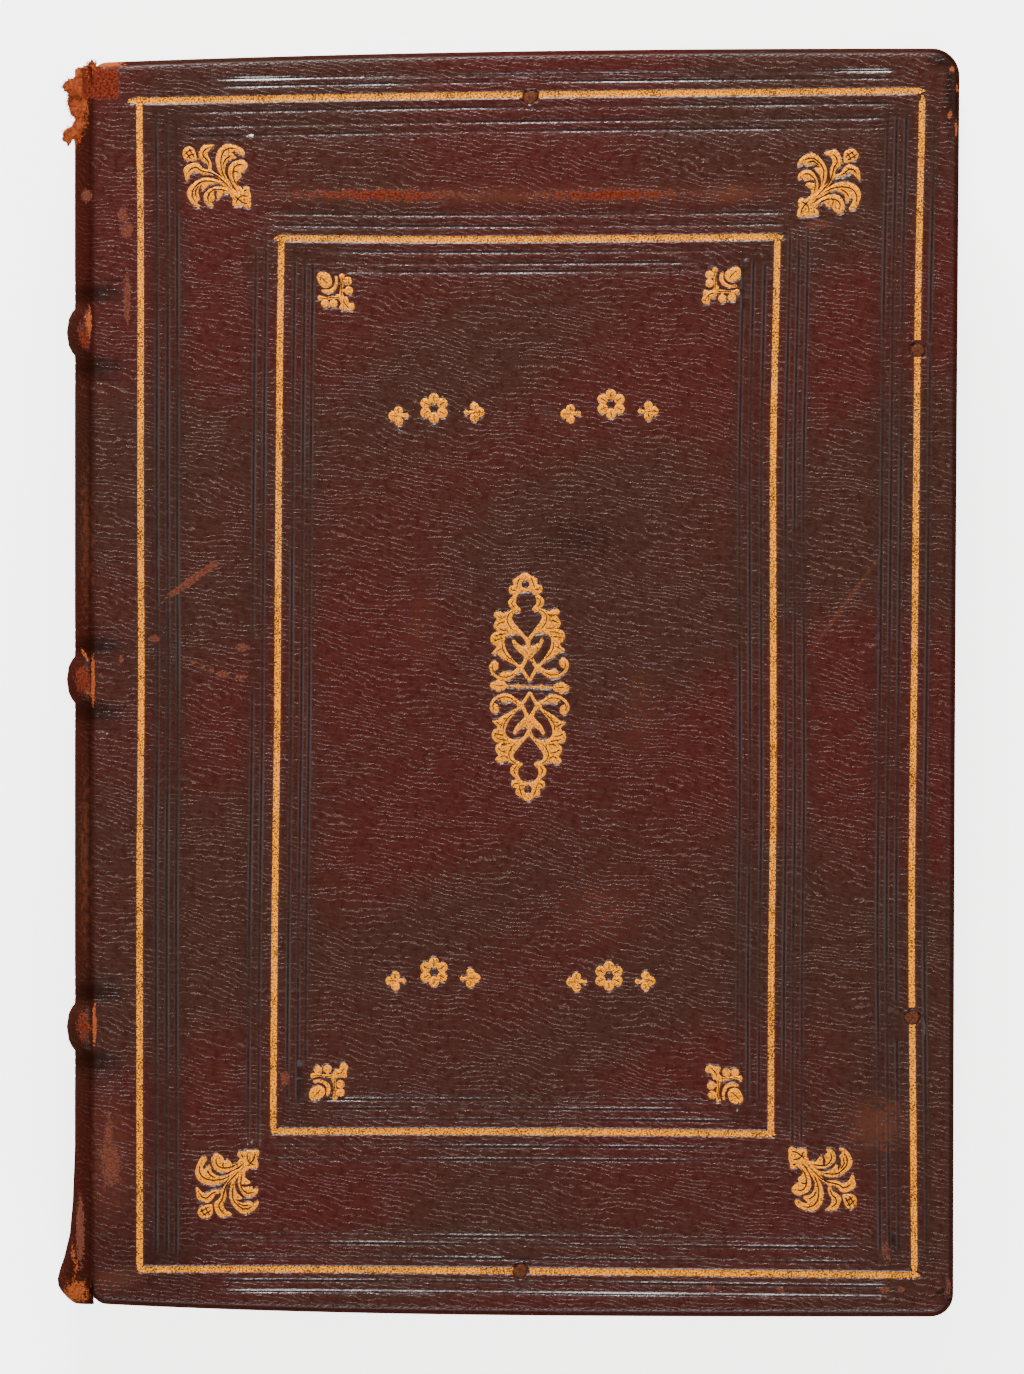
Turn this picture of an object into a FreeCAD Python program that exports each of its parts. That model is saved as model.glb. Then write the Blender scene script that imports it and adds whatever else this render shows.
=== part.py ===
"""A small quarto book in its antique goatskin binding, lying on its back cover.

Row frame, in millimetres: +X from the spine to the fore-edge, +Y to the head of the book, +Z up.
The origin is the middle of the back cover's outer face. The front half of the binding is modelled,
and the back half is its mirror image across the plane halfway up the book.
"""

import FreeCAD, Part

import math
import os

V = FreeCAD.Vector

# Covers, as seen from above. The head and tail edges aren't quite square to the fore-edge.
cover_width = 144.8
cover_height = 211.6
head_slant = 2.4
tail_slant = 2.2
fore_slant = 1.1
fore_corner_radius = 5.5
spine_corner_radius = 2.5
least_radius = 0.4

# Layers, from the outside of a cover to the middle of the book
leather = 0.8
board = 3.0
turn_in = 0.4
paper = 0.15
leaf_play = 0.1
text_thickness = 23.8

turn_in_width = 13.0
cover_edge_bevel = 0.7
turn_in_bevel = 0.3
board_spine_setback = 0.9

# Text block
head_square = 2.0
fore_square = 3.5
fore_hollow = 1.6
pastedown_spine_setback = 1.1
endpaper_spine_setback = 0.5

# Spine
joint_gap = 0.3
spine_round = 3.0
spine_leather = 1.0
spine_level_drop = 0.1
lining = 0.3
lining_margin = 1.2

# Raised bands
band_count = 3
band_pitch = 58.2
band_middle = 0.5
band_width = 7.3
band_height = 1.35
band_thinning = 0.1
band_play = 0.15
band_foot = 0.3
band_shoulder = 0.5
band_slope = 0.9
support_width = 4.6
support_core = 1.15
support_shoulder = 0.4
thread_wrap = 0.25
slip_length = 14.0
slip_thickness = 1.2
channel_over = 0.5

# Kettle stitches and endbands
kettle_from_end = 9.5
kettle_radius = 0.45
endband_radius = 0.55
endband_thread = 0.2
endband_seat = 0.05
endband_from_spine = 1.0

# Tail cap, pulled out from the spine, and the torn head
cap_thickness = 0.6
cap_lip = 2.2
cap_clearance = 0.1
flare_length = 12.5
flare_out = 3.0
flare_brim_height = 2.4
flare_bend_share = 0.4
flare_lip_share = 0.85
flare_lip_height = 0.5
flare_foot_share = 0.45
flare_fold_height = 1.7
tear_depth = 1.4
tear_teeth = 7
tear_shallow_share = 0.3
tear_wander_share = 0.25
tear_wander_turn = 1.7
flake_thickness = 0.9
flake_drop = 2.4

# Ruled and gilt tooling on a cover
rule_width = 0.5
rule_depth = 0.2
outer_rule_insets = (2.8, 4.9, 9.15, 11.4, 13.1)
inner_rule_insets = (25.9, 28.3, 33.1, 34.9, 36.2)
outer_gilt_inset = 7.3
inner_gilt_inset = 30.8
gilt_width = 1.65
gilt_depth = 0.25
gold = 0.1
band_rule_offsets = (5.1, 6.5, 8.3)
band_rule_length = 5.4

# Stubs of the lost ties: four to a cover, on the outer gilt line
tie_radius = 1.35
tie_recess = 0.15
tie_head_x = 0.7
tie_tail_x = -1.0
tie_fore_upper_y = 55.4
tie_fore_lower_y = -55.8

# Places of the tooled ornaments. The fleurons are measured in from the cover's sides, so that they stay
# between the gilt frames; the others are measured from the cover's middle.
corner_fleuron_from_side = 21.6
corner_fleuron_from_end = 22.2
small_fleuron_from_side = 39.8
small_fleuron_from_end = 39.5
centrepiece_x = 0.65
centrepiece_y = -0.7
upper_half_turn = 2.5
lower_half_turn = -1.1
waist_turn = -2.0
rosette_x = 14.6
rosette_upper_y = 45.9
rosette_lower_y = -48.9
rosette_radius = 2.5
trefoil_offset = 6.7
trefoil_drop = 1.1
petal_share = 0.36
disc_sides = 10

# How far cutting shapes reach past what they cut, and the size of the blocks that trim the spine
past = 1.0
trim_block = 20.0

# Worked out from the values above
cover_thickness = leather + board + turn_in + paper
book_thickness = 2 * (cover_thickness + leaf_play + paper) + text_thickness
middle_z = book_thickness / 2
spine_x = -cover_width / 2
fore_x = cover_width / 2
leather_under = book_thickness - leather
board_under = leather_under - board
turn_in_under = board_under - turn_in
text_top = middle_z + text_thickness / 2
spine_start_x = spine_x - joint_gap
spine_half_chord = middle_z - joint_gap
spine_radius = (spine_half_chord**2 + spine_round**2) / (2 * spine_round)
spine_centre_x = spine_start_x - spine_round + spine_radius
spine_half_angle = math.asin(spine_half_chord / spine_radius)
text_radius = spine_radius - spine_leather - lining
text_half_angle = math.asin(text_thickness / 2 / text_radius)
text_head_y = cover_height / 2 - head_slant - head_square
text_fore_x = fore_x - fore_square
endband_outer = endband_radius + endband_thread
endband_y = text_head_y + endband_seat + endband_outer
cap_inside_y = -(endband_y + endband_outer + cap_clearance)
tail_end_y = cap_inside_y - cap_thickness
corner_fleuron_x = cover_width / 2 - corner_fleuron_from_side
corner_fleuron_y = cover_height / 2 - corner_fleuron_from_end
small_fleuron_x = cover_width / 2 - small_fleuron_from_side
small_fleuron_y = cover_height / 2 - small_fleuron_from_end
band_places = [band_middle + band_pitch * (i - (band_count - 1) / 2) for i in range(band_count)]


def corners(spine_inset, head_inset, fore_inset, tail_inset):
    """The cover outline's four corners, each side moved inwards by its own inset, anticlockwise."""
    half = cover_height / 2
    sides = [
        (V(spine_x, -half + tail_slant, 0), V(fore_x - fore_slant, -half, 0), tail_inset),
        (V(fore_x - fore_slant, -half, 0), V(fore_x, half, 0), fore_inset),
        (V(fore_x, half, 0), V(spine_x, half - head_slant, 0), head_inset),
        (V(spine_x, half - head_slant, 0), V(spine_x, -half + tail_slant, 0), spine_inset),
    ]
    moved = []
    for start, end, inset in sides:
        along = (end - start).normalize()
        inwards = V(-along.y, along.x, 0) * inset
        moved.append((start + inwards, along))
    found = []
    for i in range(4):
        (p, d), (q, e) = moved[i - 1], moved[i]
        t = ((q.x - p.x) * e.y - (q.y - p.y) * e.x) / (d.x * e.y - d.y * e.x)
        found.append(p + d * t)
    return found


def rounded_wire(points, radii, z):
    """A closed wire through the points at height z, with an arc of its own radius at each corner."""
    arcs = []
    for i, point in enumerate(points):
        back = (points[i - 1] - point).normalize()
        on = (points[(i + 1) % len(points)] - point).normalize()
        half_angle = math.acos(max(-1.0, min(1.0, back.dot(on)))) / 2
        reach = radii[i] / math.tan(half_angle)
        middle = (back + on).normalize()
        centre = point + middle * (radii[i] / math.sin(half_angle))
        arcs.append((point + back * reach, centre - middle * radii[i], point + on * reach))
    edges = []
    for i, (first, top, last) in enumerate(arcs):
        if radii[i] > 0:
            edges.append(Part.Arc(first, top, last).toShape())
        edges.append(Part.LineSegment(last, arcs[(i + 1) % len(arcs)][0]).toShape())
    wire = Part.Wire(edges)
    wire.translate(V(0, 0, z))
    return wire


def cover_plate(insets, z_low, z_high, rounded=True):
    """A plate of the cover's outline, moved in by the four insets: spine, head, fore-edge, tail."""
    spine, head, fore, tail = insets
    radii = [0, 0, 0, 0]
    if rounded:
        near = max(least_radius, spine_corner_radius - head)
        far = max(least_radius, fore_corner_radius - fore)
        radii = [near, far, far, near]
    wire = rounded_wire(corners(spine, head, fore, tail), radii, z_low)
    return Part.Face(wire).extrude(V(0, 0, z_high - z_low))


def frame_ring(inset, width, z_low, z_high):
    """A rectangular ring that follows the cover's outline at an inset, measured to its middle."""
    outside = cover_plate([inset - width / 2] * 4, z_low, z_high, rounded=False)
    inside = cover_plate([inset + width / 2] * 4, z_low, z_high, rounded=False)
    return outside.cut(inside)


def polygon(points):
    """A face with straight sides through the points, facing up."""
    made = [V(x, y, 0) for x, y in points]
    face = Part.Face(Part.makePolygon(made + made[:1]))
    if face.normalAt(0, 0).z < 0:
        made.reverse()
        face = Part.Face(Part.makePolygon(made + made[:1]))
    return face


def disc(x, y, radius):
    """A round face, as a polygon: the tools are too small for its flats to show."""
    turns = [2 * math.pi * (i + 0.5) / disc_sides for i in range(disc_sides)]
    return polygon([(x + radius * math.cos(turn), y + radius * math.sin(turn)) for turn in turns])


def both_sides(points):
    """An outline that starts and ends on the line x 0, closed by its own mirror image."""
    return points + [(-x, y) for x, y in reversed(points) if x > 0]


def joined(faces, holes=()):
    """One flat shape made of overlapping faces, less the holes."""
    made = faces[0].fuse(faces[1:]) if len(faces) > 1 else faces[0]
    made = made.cut(list(holes)) if holes else made
    return made.removeSplitter()


def corner_fleuron():
    """A curling plant with a flower and a berry: its foot to the lower right, its berry to the upper left."""
    berry = [(-5.65, 3.9), (-5.3, 4.6), (-4.7, 4.9), (-4.0, 4.7), (-3.6, 4.1), (-3.35, 3.2), (-3.3, 2.55),
             (-4.2, 2.4), (-5.0, 2.5), (-5.5, 3.0)]
    flower = [(1.2, -1.5), (0.2, -0.4), (-0.6, 0.2), (-1.9, 0.1), (-2.6, 0.3), (-3.3, 0.6), (-4.0, 0.4),
              (-4.45, 0.0), (-4.6, -0.5), (-4.85, -0.8), (-5.15, -0.7), (-5.3, 0.0), (-5.5, 0.7), (-5.3, 1.4),
              (-4.3, 2.0), (-3.3, 2.15), (-2.8, 1.9), (-2.3, 1.3), (-1.6, 0.95), (-1.4, 1.3), (-1.6, 1.9),
              (-2.3, 2.3), (-2.9, 2.9), (-3.1, 3.5), (-2.8, 4.1), (-2.5, 4.8), (-1.9, 5.1), (-0.5, 5.2),
              (-0.4, 4.95), (-0.9, 4.5), (-1.4, 3.9), (-1.4, 3.2), (-1.0, 2.5), (-0.8, 1.7), (-0.85, 1.0),
              (-0.4, 0.6), (0.4, 0.05), (1.2, -0.6), (2.4, -1.8), (2.2, -2.4)]
    big_left = [(2.0, -2.1), (0.8, -1.0), (0.0, -0.65), (-1.0, -0.4), (-2.0, -0.35), (-3.0, -0.7),
                (-3.9, -1.3), (-4.6, -2.0), (-4.95, -2.9), (-4.7, -3.8), (-4.2, -4.6), (-3.5, -5.15),
                (-2.8, -5.3), (-2.7, -5.0), (-3.2, -4.6), (-3.0, -4.2), (-2.75, -3.9), (-3.0, -3.0),
                (-2.95, -2.2), (-2.5, -1.4), (-2.5, -2.2), (-2.25, -2.55), (-1.9, -2.2), (-1.3, -1.65),
                (-0.4, -1.35), (0.6, -1.4), (1.6, -2.0)]
    small_left = [(2.6, -2.4), (1.2, -1.9), (0.3, -1.8), (-0.6, -2.0), (-1.4, -2.4), (-2.0, -3.0),
                  (-2.15, -3.8), (-1.8, -4.7), (-1.2, -5.15), (-0.6, -5.2), (-0.55, -4.9), (-0.8, -4.5),
                  (-0.35, -4.2), (-0.25, -3.8), (-0.45, -3.2), (-0.4, -2.6), (-0.1, -2.35), (0.1, -2.7),
                  (0.0, -3.2), (0.15, -3.8), (0.45, -3.9), (0.8, -3.5), (1.2, -3.05), (1.8, -3.0),
                  (2.6, -3.2)]
    foot = [(1.9, -1.4), (3.8, -3.0), (4.4, -2.2), (4.7, -1.8), (5.2, -1.75), (5.5, -2.0), (5.5, -2.6),
            (5.75, -3.4), (5.7, -4.2), (5.75, -5.0), (5.5, -5.4), (4.7, -5.25), (4.2, -5.0), (3.6, -5.2),
            (2.9, -5.15), (2.6, -4.7), (2.7, -3.9), (2.3, -3.3), (1.8, -2.2)]
    right = [(4.6, -3.0), (4.2, -2.1), (3.5, -1.5), (3.4, -0.9), (3.8, -0.6), (4.2, -0.1), (4.0, 0.4),
             (4.6, 0.7), (5.1, 1.3), (5.2, 1.9), (4.8, 2.4), (4.2, 2.65), (3.4, 2.5), (2.7, 2.2), (2.2, 1.7),
             (1.95, 1.0), (2.0, 0.2), (2.25, -0.6), (2.65, -1.4), (3.2, -2.2), (3.9, -3.2)]
    upper = [(1.7, -1.5), (0.9, -0.2), (0.3, 0.7), (0.0, 1.6), (-0.15, 2.6), (0.0, 3.5), (0.4, 4.4),
             (1.1, 5.05), (2.0, 5.3), (3.0, 5.1), (4.0, 4.7), (4.6, 4.1), (4.7, 3.5), (4.3, 3.3), (3.7, 3.6),
             (3.0, 4.0), (2.6, 3.8), (3.3, 3.1), (3.0, 2.7), (2.2, 2.6), (1.6, 1.9), (1.4, 1.2), (1.4, 0.5),
             (1.7, -0.2), (2.2, -1.0), (2.6, -2.0)]
    stem = joined([polygon(part) for part in (foot, flower, big_left, small_left, right, upper)])
    return [polygon(berry)] + stem.Faces


def small_fleuron():
    """A small budded tool, its bud to the upper left."""
    bud = [(-3.1, 2.2), (-3.0, 2.9), (-2.4, 3.2), (-1.6, 3.2), (-1.0, 2.8), (-0.65, 2.1), (-0.6, 1.3),
           (-1.0, 0.75), (-1.7, 0.55), (-2.3, 0.8), (-2.7, 1.3)]
    band = [(-2.3, 0.0), (-2.2, 0.35), (-1.3, 0.3), (-0.6, 0.55), (-0.2, 1.1), (-0.05, 1.8), (-0.1, 2.5),
            (0.3, 2.5), (0.4, 1.8), (0.35, 1.0), (-0.05, 0.2), (-0.6, -0.25), (-1.5, -0.35)]
    arm = [(0.2, -1.1), (0.6, -0.5), (0.75, 0.3), (0.9, 1.2), (0.85, 2.0), (0.6, 2.7), (1.0, 3.0),
           (1.5, 2.8), (1.4, 2.2), (1.35, 1.5), (1.3, 0.9), (1.2, 0.2), (1.3, -0.6), (1.6, -1.2)]
    root = [(0.2, -0.4), (1.2, -0.7), (1.9, -0.9), (2.2, -1.5), (2.2, -1.9), (2.9, -1.9), (3.2, -2.4),
            (3.0, -3.0), (2.4, -3.3), (1.7, -3.0), (1.0, -3.1), (0.6, -2.7), (0.9, -2.0), (0.6, -1.4),
            (0.1, -0.9)]
    lower_arm = [(-y, -x) for x, y in arm]
    lobes = [disc(2.05, 1.75, 0.72), disc(2.2, 0.15, 0.72), disc(-1.75, -2.0, 0.7), disc(-0.35, -2.0, 0.7)]
    links = [
        polygon([(1.1, 1.4), (2.0, 1.4), (2.0, 1.8), (1.1, 1.8)]),
        polygon([(1.1, -0.05), (2.0, -0.05), (2.0, 0.35), (1.1, 0.35)]),
        polygon([(-1.95, -2.0), (-1.55, -2.0), (-1.55, -1.0), (-1.95, -1.0)]),
        polygon([(-0.55, -2.0), (-0.15, -2.0), (-0.15, -1.0), (-0.55, -1.0)]),
    ]
    body = joined([polygon(root), polygon(arm), polygon(lower_arm)] + lobes + links)
    return [polygon(bud), polygon(band)] + body.Faces


def trefoil():
    """A three-lobed leaf with its stalk to the right."""
    stalk = [(-0.4, -0.25), (1.2, -0.2), (1.5, -0.45), (1.9, -0.1), (1.75, 0.4), (1.3, 0.45), (-0.4, 0.3)]
    lobes = [disc(-0.75, 0.0, 0.85), disc(0.1, 0.9, 0.75), disc(0.1, -0.9, 0.75)]
    return joined(lobes + [polygon(stalk)]).Faces


def rosette():
    """A plain flower of six petals round an open eye."""
    reach = rosette_radius * (1 - petal_share)
    turns = [math.radians(60 * i + 30) for i in range(6)]
    petals = [disc(reach * math.cos(t), reach * math.sin(t), rosette_radius * petal_share) for t in turns]
    return joined(petals).Faces


def arabesque_half():
    """The upper half of the openwork centrepiece, standing on the line y 0."""
    edge = [(0, 19.0), (0.5, 18.95), (1.0, 18.5), (1.7, 18.2), (2.1, 17.8), (1.95, 17.0), (2.5, 16.9),
            (2.8, 16.5), (2.7, 15.7), (2.0, 15.4), (2.6, 14.9), (3.0, 14.3), (2.9, 13.5), (2.4, 13.0),
            (3.2, 12.7), (3.8, 12.4), (4.3, 12.75), (5.0, 12.8), (5.5, 12.4), (5.4, 11.9), (5.0, 11.6),
            (5.4, 11.0), (5.6, 10.3), (5.3, 9.7), (4.8, 9.5), (5.5, 9.3), (6.1, 8.8), (6.2, 8.0), (5.9, 7.3),
            (5.3, 7.0), (5.5, 6.5), (6.2, 5.8), (5.2, 5.6), (4.6, 5.0), (3.5, 4.4), (2.4, 3.75), (2.0, 3.3),
            (2.5, 2.85), (3.2, 2.6), (4.0, 2.75), (4.6, 2.7), (4.9, 2.2), (5.4, 2.3), (5.8, 2.8), (5.3, 3.1),
            (5.1, 3.5), (5.1, 4.2), (5.6, 4.6), (6.2, 4.4), (6.6, 3.8), (6.6, 3.0), (6.2, 2.2), (5.4, 1.6),
            (4.6, 1.25), (3.8, 1.15), (3.0, 1.45), (2.4, 1.9), (1.7, 2.4), (1.2, 2.4), (0.3, 0.95), (0, 0.9)]
    keyhole = [(0, 15.9), (0.9, 15.7), (1.5, 15.1), (1.7, 14.4), (1.6, 13.7), (1.0, 13.1), (1.0, 12.7),
               (1.4, 12.5), (2.1, 12.3), (2.5, 11.7), (2.3, 11.0), (1.7, 10.2), (1.0, 9.3), (0.4, 8.6),
               (0, 8.2)]
    crescent = [(0.35, 7.2), (0.8, 8.2), (1.6, 8.75), (2.6, 8.8), (3.4, 8.5), (3.85, 7.9), (3.9, 7.2),
                (3.6, 6.2), (3.0, 5.2), (2.3, 4.4), (1.7, 3.75), (1.3, 3.8), (0.95, 4.4), (0.75, 5.0),
                (1.3, 5.6), (1.9, 6.2), (2.4, 7.0), (2.65, 7.8), (2.3, 8.0), (1.9, 7.5), (1.3, 7.0),
                (0.75, 6.75)]
    lozenge = [(0, 4.8), (0.95, 3.1), (0, 1.4)]
    eye = disc(0, 17.1, 0.68)
    other_crescent = [(-x, y) for x, y in crescent]
    upper_holes = [polygon(both_sides(keyhole)), eye]
    lower_holes = [polygon(crescent), polygon(other_crescent), polygon(both_sides(lozenge))]
    return joined([polygon(both_sides(edge))], upper_holes + lower_holes).Faces


def arabesque_waist():
    """The crossbar between the centrepiece's two halves, with a flower at each end."""
    bar = polygon([(-4.6, -0.17), (4.6, -0.17), (4.6, 0.17), (-4.6, 0.17)])
    made = [bar]
    for side in (-1, 1):
        made += [disc(side * 4.6, 0.0, 0.75), disc(side * 5.3, 0.55, 0.5), disc(side * 5.3, -0.55, 0.5)]
        made += [disc(side * 6.0, 0.0, 0.65), disc(side * 1.95, 0.0, 0.45)]
    return joined(made).Faces


def thick(faces, height):
    """Separate faces as one shape of that height, standing on z 0."""
    return Part.makeCompound([face.extrude(V(0, 0, height)) for face in faces])


def placed(shape, x, y, turn=0.0):
    """A copy of a shape, turned about Z by so many degrees and moved."""
    made = shape.copy()
    made.rotate(V(0, 0, 0), V(0, 0, 1), turn)
    made.translate(V(x, y, 0))
    return made


def ornaments(height):
    """Every gilt ornament of a cover by name, each that high and standing on z 0."""
    fleuron = thick(corner_fleuron(), height)
    bud = thick(small_fleuron(), height)
    clover = thick(trefoil(), height)
    flower = thick(rosette(), height)
    corners_and_turns = [(-1, 1, 0), (1, 1, -90), (-1, -1, 90), (1, -1, 180)]
    half = thick(arabesque_half(), height)
    centrepiece = [
        placed(half, centrepiece_x, centrepiece_y, turn=upper_half_turn),
        placed(half, centrepiece_x, centrepiece_y, turn=180 + lower_half_turn),
        placed(thick(arabesque_waist(), height), centrepiece_x, centrepiece_y, turn=waist_turn),
    ]
    rosette_places = [(sx * rosette_x, y) for sx in (-1, 1) for y in (rosette_upper_y, rosette_lower_y)]
    trefoils = []
    for x, y in rosette_places:
        trefoils.append(placed(clover, x - trefoil_offset, y - trefoil_drop))
        trefoils.append(placed(clover, x + trefoil_offset, y - trefoil_drop, turn=180))
    return {
        "gilt_corner_fleurons": [
            placed(fleuron, sx * corner_fleuron_x, sy * corner_fleuron_y, turn=turn)
            for sx, sy, turn in corners_and_turns
        ],
        "gilt_small_fleurons": [
            placed(bud, sx * small_fleuron_x, sy * small_fleuron_y, turn=turn)
            for sx, sy, turn in corners_and_turns
        ],
        "gilt_centrepiece": centrepiece,
        "gilt_rosettes": [placed(flower, x, y) for x, y in rosette_places],
        "gilt_trefoils": trefoils,
    }


def lifted(shapes, z):
    """The shapes moved up from z 0, as one compound."""
    made = Part.makeCompound([shape.copy() for shape in shapes])
    made.translate(V(0, 0, z))
    return made


def tie_places():
    """Where a cover's four ties went through it."""
    head_at = (tie_head_x - spine_x) / cover_width
    head_y = cover_height / 2 - head_slant * (1 - head_at) - outer_gilt_inset
    tail_at = (tie_tail_x - spine_x) / cover_width
    tail_y = -cover_height / 2 + tail_slant * (1 - tail_at) + outer_gilt_inset
    places = {"head": (tie_head_x, head_y), "tail": (tie_tail_x, tail_y)}
    for name, y in (("fore_upper", tie_fore_upper_y), ("fore_lower", tie_fore_lower_y)):
        slant = fore_slant * (0.5 - y / cover_height)
        places[name] = (fore_x - slant - outer_gilt_inset, y)
    return places


def tie_stub(x, y):
    """What is left of one tie: a plug through the cover, worn a little below its face."""
    height = book_thickness - tie_recess - turn_in_under
    return Part.makeCylinder(tie_radius, height, V(x, y, turn_in_under))


def tie_holes():
    """The holes that the ties go through, from inside the cover to above its face."""
    low = turn_in_under - past
    height = book_thickness + past - low
    return [Part.makeCylinder(tie_radius, height, V(x, y, low)) for x, y in tie_places().values()]


def slip_blank(y, drop):
    """A laced-in end of a sewing support, or its channel: a tongue that lies in the board's face."""
    low = leather_under - slip_thickness
    start = spine_x + board_spine_setback - drop
    length = slip_length + drop - support_width / 2
    tongue = Part.makeBox(length, support_width, slip_thickness, V(start, y - support_width / 2, low))
    end = Part.makeCylinder(support_width / 2, slip_thickness, V(start + length, y, low))
    return tongue.fuse(end).removeSplitter()


def front_board():
    """The pasteboard of the front cover, with channels for the slips and holes for the ties."""
    insets = (board_spine_setback, leather, leather, leather)
    plate = cover_plate(insets, board_under, leather_under)
    return plate.cut([slip_blank(y, channel_over) for y in band_places] + tie_holes())


def band_rules():
    """Short ruled lines that run from the spine on to the cover on both sides of each band."""
    made = []
    for y in band_places:
        for offset in band_rule_offsets:
            for side in (-1, 1):
                low = y + side * offset - rule_width / 2
                corner = V(spine_x - past, low, book_thickness - rule_depth)
                made.append(Part.makeBox(band_rule_length + past, rule_width, rule_depth + past, corner))
    return made


def top_outer_edges(shape, z):
    """The edges at height z of a cover's head, fore-edge and tail, with the corners between them."""
    found = []
    for edge in shape.Edges:
        box = edge.BoundBox
        flat = abs(box.ZMin - z) < 1e-5 and abs(box.ZMax - z) < 1e-5
        if flat and box.XMax > spine_x + 1e-3:
            found.append(edge)
    return found


def front_leather(tooling):
    """The goatskin of the front cover, turned in round three edges, with its tooling cut in."""
    skin = cover_plate([0, 0, 0, 0], turn_in_under, book_thickness)
    skin = skin.makeChamfer(cover_edge_bevel, top_outer_edges(skin, book_thickness))
    skin = skin.makeChamfer(turn_in_bevel, top_outer_edges(skin, turn_in_under))
    hollow = cover_plate((-past, leather, leather, leather), board_under, leather_under)
    inner_edges = (-past, turn_in_width, turn_in_width, turn_in_width)
    window = cover_plate(inner_edges, turn_in_under - past, board_under, rounded=False)
    skin = skin.cut([hollow, window])
    rule_low = book_thickness - rule_depth
    rules = [
        frame_ring(inset, rule_width, rule_low, book_thickness + past)
        for inset in outer_rule_insets + inner_rule_insets
    ]
    gilt_low = book_thickness - gilt_depth
    gilt_beds = [
        frame_ring(inset, gilt_width, gilt_low, book_thickness + past)
        for inset in (outer_gilt_inset, inner_gilt_inset)
    ]
    beds = [lifted(shapes, gilt_low) for shapes in tooling.values()]
    skin = skin.cut(rules + band_rules())
    skin = skin.cut(gilt_beds + tie_holes())
    return skin.cut(beds)


def gilt_frames():
    """The two gilt lines that frame a cover, broken where the ties went through."""
    low = book_thickness - gilt_depth
    outer = frame_ring(outer_gilt_inset, gilt_width, low, low + gold).cut(tie_holes())
    inner = frame_ring(inner_gilt_inset, gilt_width, low, low + gold)
    return {"gilt_outer_frame": outer, "gilt_inner_frame": inner}


def pastedown():
    """The paper glued inside the front cover: it steps down from the turn-ins to the board."""
    low = turn_in_under - paper
    outside = (pastedown_spine_setback, text_inset(1), fore_square, text_inset(-1))
    whole = cover_plate(outside, low, board_under, rounded=False)
    spine_side = pastedown_spine_setback - past
    step = (spine_side, turn_in_width + paper, turn_in_width + paper, turn_in_width + paper)
    recess = cover_plate(step, low - past, board_under - paper, rounded=False)
    inner_edges = (spine_side, turn_in_width, turn_in_width, turn_in_width)
    ring = cover_plate([-past] * 4, turn_in_under, board_under + past, rounded=False)
    ring = ring.cut(cover_plate(inner_edges, turn_in_under - past, board_under + 2 * past, rounded=False))
    return whole.cut([recess, ring])


def text_inset(end):
    """How far inside the cover's slanting head (1) or tail (-1) the paper's edge lies, at the least."""
    slant = head_slant if end > 0 else tail_slant
    return head_square + slant - min(slant, head_slant)


def spun(section, half_angle):
    """A section drawn at mid height, spun both ways about the spine's axis by the half angle."""
    face = section.copy()
    axis_at = V(spine_centre_x, 0, middle_z)
    face.rotate(axis_at, V(0, 1, 0), -math.degrees(half_angle))
    return face.revolve(axis_at, V(0, 1, 0), 2 * math.degrees(half_angle))


def spine_point(radius, y):
    """A point of a spine section: that far from the spine's axis, at that place along the book."""
    return V(spine_centre_x - radius, y, middle_z)


def spine_rect(r_low, r_high, y_low, y_high):
    """A rectangular spine section as a face."""
    ends = [(r_low, y_low), (r_high, y_low), (r_high, y_high), (r_low, y_high), (r_low, y_low)]
    return Part.Face(Part.makePolygon([spine_point(r, y) for r, y in ends]))


def dome_section(y, half_width, r_low, r_high, shoulder):
    """A support's section: a flat foot, straight shoulders and a domed back."""
    foot_a, foot_b = spine_point(r_low, y - half_width), spine_point(r_low, y + half_width)
    r_top = r_low + shoulder
    top_a, top_b = spine_point(r_top, y - half_width), spine_point(r_top, y + half_width)
    back = Part.Arc(top_a, spine_point(r_high, y), top_b).toShape()
    sides = [Part.LineSegment(foot_a, top_a).toShape(), back, Part.LineSegment(top_b, foot_b).toShape()]
    return Part.Face(Part.Wire(sides + [Part.LineSegment(foot_b, foot_a).toShape()]))


def support(y):
    """One sewing support: a flat tawed thong that follows the round of the spine."""
    section = dome_section(y, support_width / 2, text_radius, text_radius + support_core, support_shoulder)
    return spun(section, text_half_angle)


def sewing_wrap(y):
    """The sewing thread packed round one support, as one sleeve."""
    half = support_width / 2
    top = text_radius + support_core
    outer = dome_section(y, half + thread_wrap, text_radius, top + thread_wrap, support_shoulder)
    inner = dome_section(y, half, text_radius - past, top, support_shoulder + past)
    return spun(outer.cut(inner).Faces[0], text_half_angle)


def lining_patches():
    """The parchment patches glued between the bands, from tail to head."""
    half_band = support_width / 2 + thread_wrap + lining_margin
    stops = [-text_head_y + lining_margin]
    for y in band_places:
        stops += [y - half_band, y + half_band]
    stops.append(text_head_y - lining_margin)
    made = []
    for low, high in zip(stops[::2], stops[1::2]):
        made.append(spun(spine_rect(text_radius, text_radius + lining, low, high), text_half_angle))
    return made


def kettle_stitch(end):
    """The row of linked stitches near one end of the spine, as one cord sunk in the paper."""
    y = end * (text_head_y - kettle_from_end)
    circle = Part.makeCircle(kettle_radius, spine_point(text_radius - kettle_radius, y), V(0, 0, 1))
    return spun(Part.Face(Part.Wire([circle])), text_half_angle)


def endband_axis(end):
    """Where the core of the head (1) or tail (-1) endband lies: its radius and its place along the book."""
    return text_radius - endband_from_spine, end * endband_y


def endband_core(end):
    """The thong inside one endband."""
    radius, y = endband_axis(end)
    circle = Part.makeCircle(endband_radius, spine_point(radius, y), V(0, 0, 1))
    return spun(Part.Face(Part.Wire([circle])), text_half_angle)


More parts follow.
